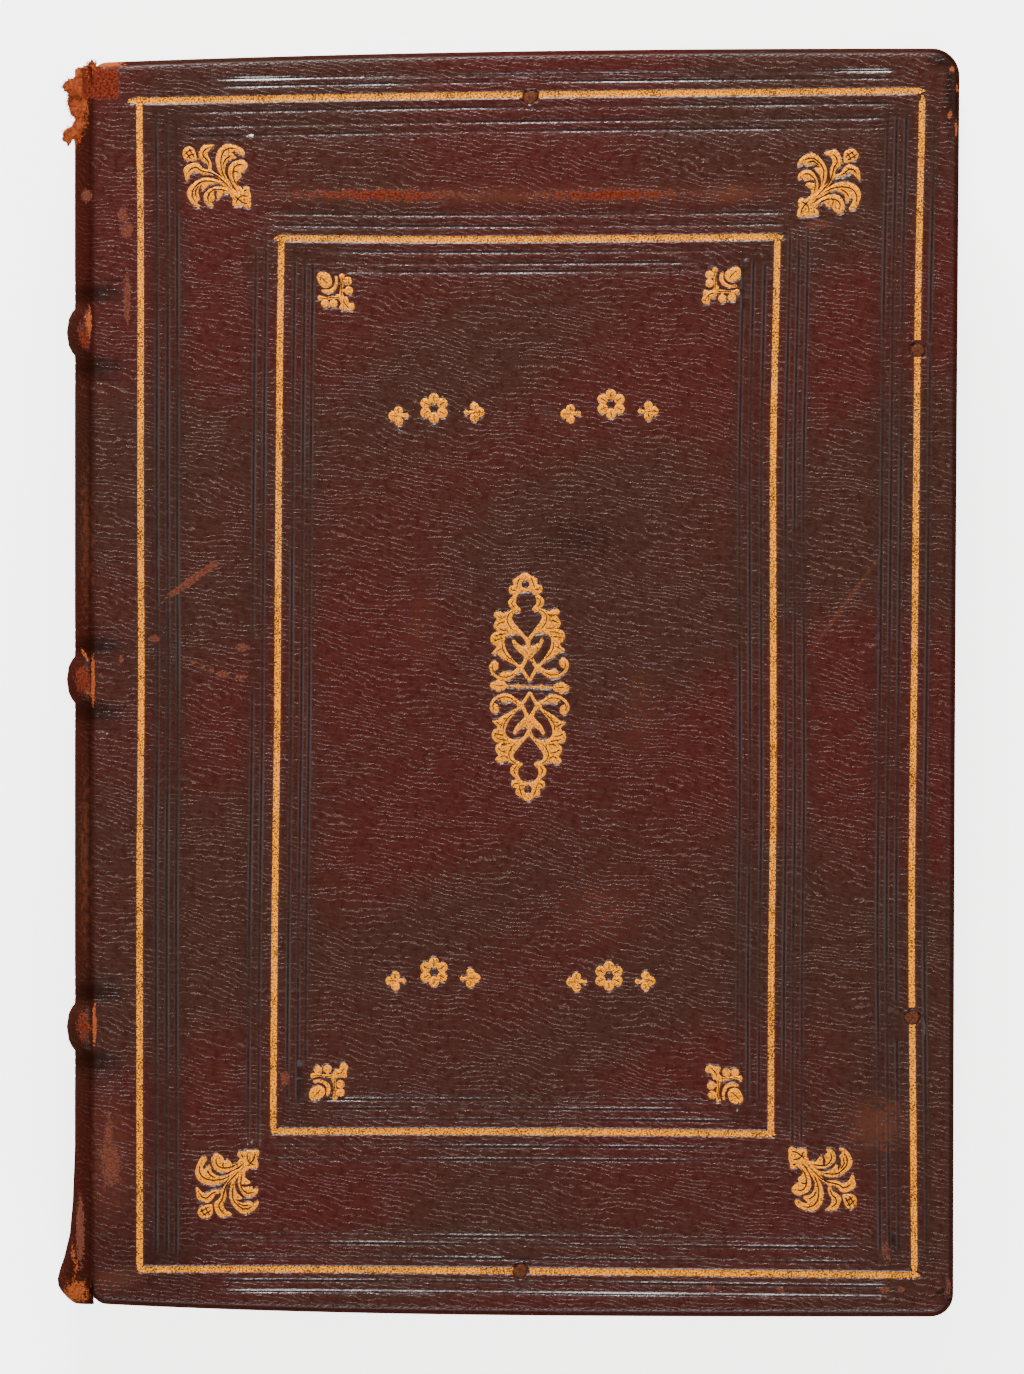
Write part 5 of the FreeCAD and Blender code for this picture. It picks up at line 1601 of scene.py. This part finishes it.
class Graph:
    """Builds one material's nodes: on a flat sheet its noise needs no third direction."""

    def __init__(self, name: str, flat: bool = False) -> None:
        """Starts the material with its shader and its output."""
        self.dimensions = "2D" if flat else "3D"
        self.material = bpy.data.materials.new(name)
        self.material.use_nodes = True
        self.tree = self.material.node_tree
        self.tree.nodes.clear()
        self.shader = self.node("ShaderNodeBsdfPrincipled")
        output = self.node("ShaderNodeOutputMaterial")
        self.link(self.shader.outputs[0], output.inputs[0])

    def node(self, kind: str, **settings: object) -> bpy.types.Node:
        """Adds a node with its settings."""
        made = self.tree.nodes.new(kind)
        for name, value in settings.items():
            setattr(made, name, value)
        return made

    def link(self, source: Socket, target: Socket) -> None:
        """Joins two sockets."""
        self.tree.links.new(source, target)

    def put(self, socket: Socket, value: object) -> None:
        """Gives a socket a link if the value is a socket, and else the value itself."""
        if isinstance(value, Socket):
            self.link(value, socket)
        else:
            socket.default_value = value

    def attribute(self, name: str, output: str = "Fac") -> Socket:
        """Reads an attribute of the mesh."""
        return self.node("ShaderNodeAttribute", attribute_name=name).outputs[output]

    def places(self, own: bool) -> Socket:
        """The surface's rest place in millimetres: from the mesh's own attribute, or from its object."""
        if own:
            return self.attribute("rest", "Vector")
        scaled = self.node("ShaderNodeVectorMath", operation="SCALE")
        self.link(self.node("ShaderNodeTexCoord").outputs["Object"], scaled.inputs[0])
        scaled.inputs["Scale"].default_value = 1 / MM
        return scaled.outputs[0]

    def mapped(self, vector: Socket, scale: Triple) -> Socket:
        """Scales places."""
        made = self.node("ShaderNodeMapping")
        self.link(vector, made.inputs["Vector"])
        made.inputs["Scale"].default_value = scale
        return made.outputs[0]

    def noise(
        self, vector: Socket, scale: float, detail: float = 3.0, rough: float = 0.5, bend: float = 0.0
    ) -> Socket:
        """Cloudy noise between 0 and 1."""
        made = self.node("ShaderNodeTexNoise", noise_dimensions=self.dimensions)
        self.link(vector, made.inputs["Vector"])
        made.inputs["Scale"].default_value = scale
        made.inputs["Detail"].default_value = detail
        made.inputs["Roughness"].default_value = rough
        made.inputs["Distortion"].default_value = bend
        return made.outputs["Fac"]

    def cells(self, vector: Socket, scale: float) -> Socket:
        """Distances from the middles of a pattern of cells."""
        made = self.node("ShaderNodeTexVoronoi", feature="F1", voronoi_dimensions=self.dimensions)
        self.link(vector, made.inputs["Vector"])
        made.inputs["Scale"].default_value = scale
        return made.outputs["Distance"]

    def maths(self, operation: str, a: object, b: object = 0.0) -> Socket:
        """One sum of two values."""
        made = self.node("ShaderNodeMath", operation=operation)
        self.put(made.inputs[0], a)
        self.put(made.inputs[1], b)
        return made.outputs[0]

    def plus(self, a: object, b: object) -> Socket:
        """Adds two values."""
        return self.maths("ADD", a, b)

    def less(self, a: object, b: object) -> Socket:
        """Takes the second value from the first."""
        return self.maths("SUBTRACT", a, b)

    def times(self, a: object, b: object) -> Socket:
        """Multiplies two values."""
        return self.maths("MULTIPLY", a, b)

    def span(
        self, value: Socket, low: float, high: float, to_low: float = 0.0, to_high: float = 1.0
    ) -> Socket:
        """Turns one range of a value into another, with soft ends."""
        made = self.node("ShaderNodeMapRange", interpolation_type="SMOOTHSTEP")
        self.link(value, made.inputs["Value"])
        for name, number in (("From Min", low), ("From Max", high), ("To Min", to_low), ("To Max", to_high)):
            made.inputs[name].default_value = number
        return made.outputs["Result"]

    def mix(self, factor: Socket, a: object, b: object) -> Socket:
        """Mixes two colours."""
        made = self.node("ShaderNodeMix", data_type="RGBA")
        self.link(factor, made.inputs[0])
        self.put(made.inputs[6], a)
        self.put(made.inputs[7], b)
        return made.outputs[2]

    def bump(self, height: Socket, reach: float) -> None:
        """Presses a height, in millimetres for each unit, into the surface."""
        made = self.node("ShaderNodeBump")
        self.link(height, made.inputs["Height"])
        made.inputs["Distance"].default_value = reach * MM
        self.link(made.outputs[0], self.shader.inputs["Normal"])


@dataclass(frozen=True)
class Goatskin:
    """Dark red-brown goatskin: pebbled, with wavy creases lightened by painted sheen and some dust, darker where it
    was tooled, worn in places, with painted shade on its edges.
    """

    name: str
    field_red: Colour = (61, 21, 17)
    field_brown: Colour = (52, 27, 20)
    mottle: Colour = (37, 14, 9)
    tooled: Colour = (39, 21, 14)
    # Painted sheen with some dust: the pale grey laid on the grain's creases.
    crease: Colour = (90, 64, 54)
    faint: Colour = (76, 39, 26)
    rubbed: Colour = (78, 38, 28)
    torn: Colour = (117, 58, 30)
    red: Colour = (74, 17, 12)
    rubbed_light: Colour = (98, 57, 43)
    torn_light: Colour = (150, 74, 37)
    red_light: Colour = (104, 48, 30)
    # The darkest brown, also used for the painted shade on the edges and at the joint.
    dark: Colour = (26, 9, 5)
    rough: float = 0.3

    def build(self) -> bpy.types.Material:
        """Makes the material."""
        g = Graph(self.name, flat=True)
        place = g.attribute("sheet", "Vector")
        mark = g.attribute("mark")
        tone = g.attribute("tone")
        line = g.attribute("line")
        mottled = g.noise(place, 0.8, 3.0, 0.65)
        fine = g.noise(place, 2.6, 2.0, 0.7)
        hue = g.plus(tone, g.times(mottled, 0.6))
        colour = g.mix(g.span(hue, 0.5, 1.1), linear(self.field_brown), linear(self.field_red))
        colour = g.mix(g.span(mottled, 0.45, 0.75, 0.0, 0.5), colour, linear(self.mottle))
        colour = g.mix(g.times(mark, g.span(mottled, 0.3, 0.7, 1.0, 0.6)), colour, linear(self.tooled))
        crease = self.creases(g, place, mark, fine)
        # Painted sheen with some dust: the creases are lightened towards pale grey, as if their edges caught the
        # light.
        colour = g.mix(g.times(crease, 0.7), colour, linear(self.crease))
        colour = g.mix(g.span(line, 0.5, 1.0, 0.0, 0.75), colour, linear(self.dark))
        # Painted shade: the turned-over edges, the spine's side and the joint are darkened.
        edge = g.attribute("edge")
        colour = g.mix(g.times(edge, 0.45), colour, linear(self.dark))
        colour, worn = self.wear(g, colour, mottled, fine)
        g.link(colour, g.shader.inputs["Base Color"])
        dull = g.maths("MAXIMUM", worn, edge)
        gloss = g.less(g.span(mottled, 0.3, 0.7, self.rough + 0.06, self.rough - 0.05), g.times(line, 0.08))
        g.link(g.maths("MAXIMUM", gloss, g.times(dull, 0.75)), g.shader.inputs["Roughness"])
        polished = g.times(line, g.span(dull, 0.0, 0.6, 0.6, 0.0))
        level = g.plus(g.span(dull, 0.0, 1.0, 0.3, 0.0), polished)
        g.link(level, g.shader.inputs["Specular IOR Level"])
        pebble = g.cells(g.mapped(place, (1.0, 1.5, 1.0)), 1.5)
        height = g.less(g.times(mottled, 0.8), g.times(pebble, 0.9))
        height = g.less(height, g.times(crease, 0.7))
        height = g.plus(height, g.times(worn, fine))
        height = g.times(height, g.less(1.0, g.times(line, 0.85)))
        g.bump(height, 0.05)
        return g.material

    def creases(
        self, g: Graph, place: Socket, mark: Socket, fine: Socket
    ) -> Socket:
        """Draws the grain's long creases: wavy lines that run across the cover, merge and break off.

        Args:
            g: The material's nodes.
            place: The place on the flat sheet.
            mark: Where the tooling has flattened the grain.
            fine: Fine noise that breaks the lines up.

        Returns:
            The creases' strength.
        """
        split = g.node("ShaderNodeSeparateXYZ")
        g.link(place, split.inputs[0])
        level = g.plus(g.times(split.outputs["Y"], 1.2), g.times(split.outputs["X"], 0.22))
        for scale, detail, rough, reach in (((0.06, 0.09, 1.0), 1.0, 0.5, 6.0), ((0.5, 0.8, 1.0), 3.0, 0.65, 1.5)):
            level = g.plus(level, g.times(g.noise(g.mapped(place, scale), 1.0, detail, rough), reach))
        ridge = g.maths("ABSOLUTE", g.less(g.maths("FRACT", level), 0.5))
        thin = g.span(ridge, 0.38, 0.48)
        shown = g.noise(g.mapped(place, (0.2, 0.5, 1.0)), 1.0, 2.0, 0.6)
        thin = g.times(thin, g.span(shown, 0.38, 0.55, 0.2, 1.0))
        thin = g.times(thin, g.span(fine, 0.36, 0.58, 0.25, 1.0))
        return g.times(thin, g.less(1.0, g.times(mark, 0.65)))

    def wear(
        self, g: Graph, colour: Socket, mottled: Socket, fine: Socket
    ) -> tuple[Socket, Socket]:
        """Lays the worn places over the leather's colour.

        Args:
            g: The material's nodes.
            colour: The unworn colour.
            mottled: Cloudy noise that breaks the faint marks up.
            fine: Fine noise that breaks the edges up.

        Returns:
            The new colour, and where the grain is gone.
        """
        broken = g.times(g.less(mottled, 0.5), 1.6)
        faint = g.attribute(Wear.FAINT.value)
        faint = g.plus(faint, g.times(broken, g.span(faint, 0.0, 0.3)))
        colour = g.mix(g.span(faint, 0.15, 0.7, 0.0, 0.75), colour, linear(self.faint))
        dark = g.span(g.attribute(Wear.DARK.value), 0.1, 0.9, 0.0, 0.85)
        colour = g.mix(dark, colour, linear(self.dark))
        worn: object = 0.0
        both = g.plus(g.times(fine, 0.6), g.times(mottled, 0.5))
        ragged = g.less(both, 0.55)
        for wear, low, high in (
            (Wear.RUBBED, self.rubbed, self.rubbed_light),
            (Wear.TORN, self.torn, self.torn_light),
            (Wear.RED, self.red, self.red_light),
        ):
            mark = g.attribute(wear.value)
            mask = g.span(g.plus(mark, g.times(ragged, g.span(mark, 0.0, 0.25))), 0.42, 0.58)
            colour = g.mix(mask, colour, g.mix(g.span(fine, 0.36, 0.66), linear(low), linear(high)))
            worn = g.maths("MAXIMUM", worn, mask)
        return colour, worn


@dataclass(frozen=True)
class GoldLeaf:
    """Gold leaf pressed into leather: speckled, rubbed through here and there."""

    name: str
    rubbed: float = 0.53
    bright: Colour = (255, 164, 8)
    deep: Colour = (206, 100, 8)
    under: Colour = (84, 34, 18)
    rough: float = 0.45

    def build(self) -> bpy.types.Material:
        """Makes the material."""
        g = Graph(self.name, flat=True)
        place = g.places(own=True)
        grain = g.noise(place, 3.4, 2.0, 0.8)
        broad = g.noise(place, 0.35, 3.0, 0.7)
        colour = g.mix(g.span(grain, 0.38, 0.6), linear(self.deep), linear(self.bright))
        gone = g.plus(g.times(grain, 0.75), g.times(broad, 0.3))
        gone = g.span(gone, self.rubbed, self.rubbed - 0.07)
        colour = g.mix(gone, colour, linear(self.under))
        g.link(colour, g.shader.inputs["Base Color"])
        g.link(g.span(gone, 0.0, 1.0, 0.35, 0.0), g.shader.inputs["Metallic"])
        g.shader.inputs["Specular IOR Level"].default_value = 0.2
        g.link(g.span(broad, 0.3, 0.7, self.rough - 0.05, self.rough + 0.15), g.shader.inputs["Roughness"])
        g.bump(g.less(grain, g.times(gone, 0.6)), 0.07)
        return g.material


@dataclass(frozen=True)
class Leaves:
    """The cut edges of old paper, one line to a leaf, stained here and there."""

    name: str = "leaf_edges"
    pale: Colour = (180, 152, 108)
    aged: Colour = (118, 90, 56)
    stain: Colour = (96, 70, 42)

    def build(self) -> bpy.types.Material:
        """Makes the material."""
        g = Graph(self.name)
        place = g.places(own=True)
        sheets = g.noise(g.mapped(place, (0.03, 0.03, 5.0)), 1.0, 3.0, 0.7)
        stains = g.noise(place, 0.06, 4.0, 0.6)
        colour = g.mix(g.span(sheets, 0.35, 0.65), linear(self.aged), linear(self.pale))
        colour = g.mix(g.span(stains, 0.45, 0.75, 0.0, 0.6), colour, linear(self.stain))
        g.link(colour, g.shader.inputs["Base Color"])
        g.link(g.span(stains, 0.2, 0.8, 0.75, 0.92), g.shader.inputs["Roughness"])
        g.bump(sheets, 0.16)
        return g.material


@dataclass(frozen=True)
class Fibrous:
    """A plain material with a grain of fibres: paper, board, thread, thong, parchment or frayed leather."""

    name: str
    light: Colour
    dark: Colour
    stain: Colour
    stretch: Triple = (1.0, 1.0, 1.0)
    scale: float = 1.2
    rough: float = 0.8
    depth: float = 0.06
    own: bool = False

    def build(self) -> bpy.types.Material:
        """Makes the material."""
        g = Graph(self.name)
        place = g.places(self.own)
        grain = g.noise(g.mapped(place, self.stretch), self.scale, 5.0, 0.7, 0.4)
        broad = g.noise(place, 0.05, 4.0, 0.65)
        colour = g.mix(g.span(grain, 0.3, 0.7), linear(self.dark), linear(self.light))
        colour = g.mix(g.span(broad, 0.45, 0.78, 0.0, 0.55), colour, linear(self.stain))
        g.link(colour, g.shader.inputs["Base Color"])
        g.link(g.span(grain, 0.2, 0.8, self.rough - 0.08, self.rough + 0.1), g.shader.inputs["Roughness"])
        g.shader.inputs["Specular IOR Level"].default_value = 0.15
        g.bump(grain, self.depth)
        return g.material


@dataclass(frozen=True)
class Lamp:
    """One soft lamp that faces the middle of the book: its place and size are in metres."""

    name: str
    place: Triple
    size: float
    power: float

    def build(self) -> None:
        """Hangs the lamp."""
        light = bpy.data.lights.new(self.name, "AREA")
        light.shape = "DISK"
        light.size = self.size
        light.energy = self.power
        made = bpy.data.objects.new(self.name, light)
        made.location = self.place
        made.rotation_mode = "QUATERNION"
        made.rotation_quaternion = (Vector(self.place) * -1).to_track_quat("-Z", "Y")
        bpy.context.scene.collection.objects.link(made)


@dataclass(frozen=True)
class Studio:
    """A pale floor, soft light from both ends of the book, and the photograph's straight view down."""

    lens: float = 350.0
    sensor: float = 36.0
    frame_height: float = 229.0
    centre: Point = (-2.33, -0.75)
    floor_reach: float = 1600.0
    floor_drop: float = 0.3
    floor_dark: float = 0.9
    floor_light: float = 0.93
    glow: float = 3.4
    ambient: float = 0.12
    lamps: tuple[Lamp, ...] = (
        Lamp("head_light", (-0.1, 0.85, 0.5), 0.5, 26.0),
        Lamp("tail_light", (0.1, -0.85, 0.55), 0.5, 11.0),
        Lamp("fore_light", (0.85, 0.05, 0.5), 1.3, 3.2),
        Lamp("spine_light", (-0.85, 0.0, 0.5), 1.3, 3.6),
    )

    def floor(self) -> None:
        """Lays the floor just under the book."""
        mesh = bpy.data.meshes.new("floor")
        reach, low = self.floor_reach * MM, -self.floor_drop * MM
        corners = [(-reach, -reach, low), (reach, -reach, low), (reach, reach, low), (-reach, reach, low)]
        mesh.from_pydata(corners, [], [(0, 1, 2, 3)])
        floor = bpy.data.objects.new("floor", mesh)
        bpy.context.scene.collection.objects.link(floor)
        g = Graph("paper_sweep")
        place = g.places(own=False)
        dark, light = ((level, level, level, 1.0) for level in (self.floor_dark, self.floor_light))
        g.link(g.mix(g.span(g.noise(place, 0.01, 3.0), 0.3, 0.7), dark, light), g.shader.inputs["Base Color"])
        g.shader.inputs["Roughness"].default_value = 0.95
        g.shader.inputs["Emission Color"].default_value = (1.0, 1.0, 1.0, 1.0)
        g.shader.inputs["Emission Strength"].default_value = self.glow
        g.bump(g.noise(place, 0.8, 3.0), 0.02)
        mesh.materials.append(g.material)

    def light(self) -> None:
        """Sets the faint light from all round, and the lamps."""
        world = bpy.data.worlds.new("studio")
        world.use_nodes = True
        world.node_tree.nodes["Background"].inputs["Color"].default_value = (1, 1, 1, 1)
        world.node_tree.nodes["Background"].inputs["Strength"].default_value = self.ambient
        bpy.context.scene.world = world
        for lamp in self.lamps:
            lamp.build()

    def view(self) -> None:
        """Sets the camera straight above the book, far enough off to see the whole frame's height."""
        camera = bpy.data.cameras.new("camera")
        camera.lens = self.lens
        camera.sensor_width = self.sensor
        camera.clip_start, camera.clip_end = 0.1, 10.0
        made = bpy.data.objects.new("camera", camera)
        far = self.frame_height * self.lens / self.sensor
        made.location = (self.centre[0] * MM, self.centre[1] * MM, (SIZE.thickness + far) * MM)
        bpy.context.scene.collection.objects.link(made)
        bpy.context.scene.camera = made

    def build(self) -> None:
        """Sets the floor, the light and the camera."""
        self.floor()
        self.light()
        self.view()


class Finishes:
    """Every material of the book, made once."""

    def __init__(self) -> None:
        """Makes the materials."""
        self.skin = Goatskin("goatskin").build()
        self.ruled_gold = GoldLeaf("ruled_gold", 0.52).build()
        self.stamped_gold = GoldLeaf("stamped_gold", 0.465).build()
        self.leaves = Leaves().build()
        self.board = Fibrous(
            "pasteboard", (176, 154, 120), (134, 112, 82), (110, 88, 62),
            stretch=(1.0, 1.0, 3.0), scale=1.4, rough=0.85, depth=0.12,
        ).build()
        self.paper = Fibrous(
            "laid_paper", (208, 188, 148), (186, 162, 118), (158, 128, 84),
            stretch=(0.08, 1.0, 1.0), scale=1.6, rough=0.82, depth=0.03,
        ).build()
        self.tawed = Fibrous(
            "tawed_skin", (214, 202, 178), (178, 160, 130), (150, 128, 96), scale=2.4, rough=0.78, depth=0.08
        ).build()
        self.parchment = Fibrous(
            "parchment", (220, 204, 168), (196, 176, 134), (170, 144, 100),
            stretch=(0.6, 1.0, 1.0), scale=1.8, rough=0.55, depth=0.03,
        ).build()
        self.thread = Fibrous(
            "linen_thread", (216, 202, 170), (168, 148, 112), (140, 118, 84),
            stretch=(1.0, 5.0, 5.0), scale=2.2, depth=0.08,
        ).build()
        self.winding = Fibrous(
            "endband_thread", (206, 186, 146), (150, 112, 74), (120, 80, 54),
            stretch=(3.0, 1.0, 3.0), scale=2.2, rough=0.75, own=True,
        ).build()
        self.tie = Fibrous(
            "tie_remains", (104, 54, 29), (46, 21, 11), (34, 14, 8),
            stretch=(1.0, 1.0, 0.4), scale=3.4, depth=0.14, own=True,
        ).build()
        self.fibre = Fibrous(
            "torn_fibre", (152, 68, 27), (98, 38, 16), (60, 20, 10),
            stretch=(1.0, 0.6, 1.0), scale=2.6, rough=0.85, depth=0.14, own=True,
        ).build()


@dataclass
class Cover:
    """One cover's goatskin, gilding and ties."""

    side: Side
    relief: Relief
    finishes: Finishes

    def skin(self) -> Piece:
        """Makes the goatskin, with its half of the spine."""
        piece = CoverSkin(self.side, self.relief).build()
        piece.data.materials.append(self.finishes.skin)
        z = SIZE.middle * MM
        self.side.body
        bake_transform(piece)
        names = [f"leather_{self.side.suffix}"] + (["leather_spine"] if self.side is Side.FRONT else [])
        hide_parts(*names)
        return piece

    def build(self) -> None:
        """Makes every piece of the cover, and lets the gilding and the ties ride on the cover's body."""
        self.skin()
        for piece in Gilding(self.side, self.relief).build():
            gold = self.finishes.ruled_gold if "frame" in piece.name else self.finishes.stamped_gold
            self.dress(piece, gold, Slot.GILDING)
        for tie in TIES:
            self.dress(TieStub(self.side, tie).build(), self.finishes.tie, Slot.TIES)

    def dress(self, piece: Piece, material: bpy.types.Material, slot: Slot) -> None:
        """Gives a piece its material, and lets it ride on the cover's body."""
        piece.data.materials.append(material)
        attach(piece, self.side.body)


@dataclass
class Book:
    """The whole book."""

    nodes: dict[str, Piece]
    finishes: Finishes = field(default_factory=Finishes)
    relief: Relief = field(default_factory=Relief)

    def carry_over(self) -> None:
        """Finishes the CAD nodes that are shown as they are."""
        table = (
            ("board", self.finishes.board, Slot.PASTEBOARD), ("pastedown", self.finishes.paper, Slot.ENDPAPERS),
            ("endpaper", self.finishes.paper, Slot.ENDPAPERS), ("band_slip", self.finishes.tawed, Slot.TAWED),
            ("sewing_support", self.finishes.tawed, Slot.TAWED), ("headband_core", self.finishes.tawed, Slot.TAWED),
            ("tailband_core", self.finishes.tawed, Slot.TAWED), ("sewing_thread", self.finishes.thread, Slot.THREAD),
            ("kettle_stitch", self.finishes.thread, Slot.THREAD),
            ("spine_lining", self.finishes.parchment, Slot.PARCHMENT),
        )
        for name, node in self.nodes.items():
            for start, material, slot in table:
                if name.startswith(start):
                    node.data.materials.clear()
                    node.data.materials.append(material)

    def middle(self) -> None:
        """Makes the pieces between the covers."""
        self.dress(LeafBlock().build(), self.finishes.leaves, Slot.LEAVES)
        for name, end in (("headband", 1), ("tailband", -1)):
            self.dress(Endband(name, end).build(), self.finishes.winding, Slot.THREAD)
        self.dress(TornHead().build(), self.finishes.fibre, Slot.SPINE)

    def dress(self, piece: Piece, material: bpy.types.Material, slot: Slot) -> None:
        """Gives a piece its material, and lets it ride with the leaves."""
        piece.data.materials.append(material)
        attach(piece, "text_and_spine")

    def build(self) -> None:
        """Makes and finishes every piece."""
        for side in Side:
            Cover(side, self.relief, self.finishes).build()
        self.middle()
        self.carry_over()


def main() -> None:
    """Builds the book and the studio."""
    logging.basicConfig(level=logging.INFO, format="%(name)s: %(message)s")
    Book(frame["nodes"]).build()
    Studio().build()


if __name__ == "__main__":
    main()
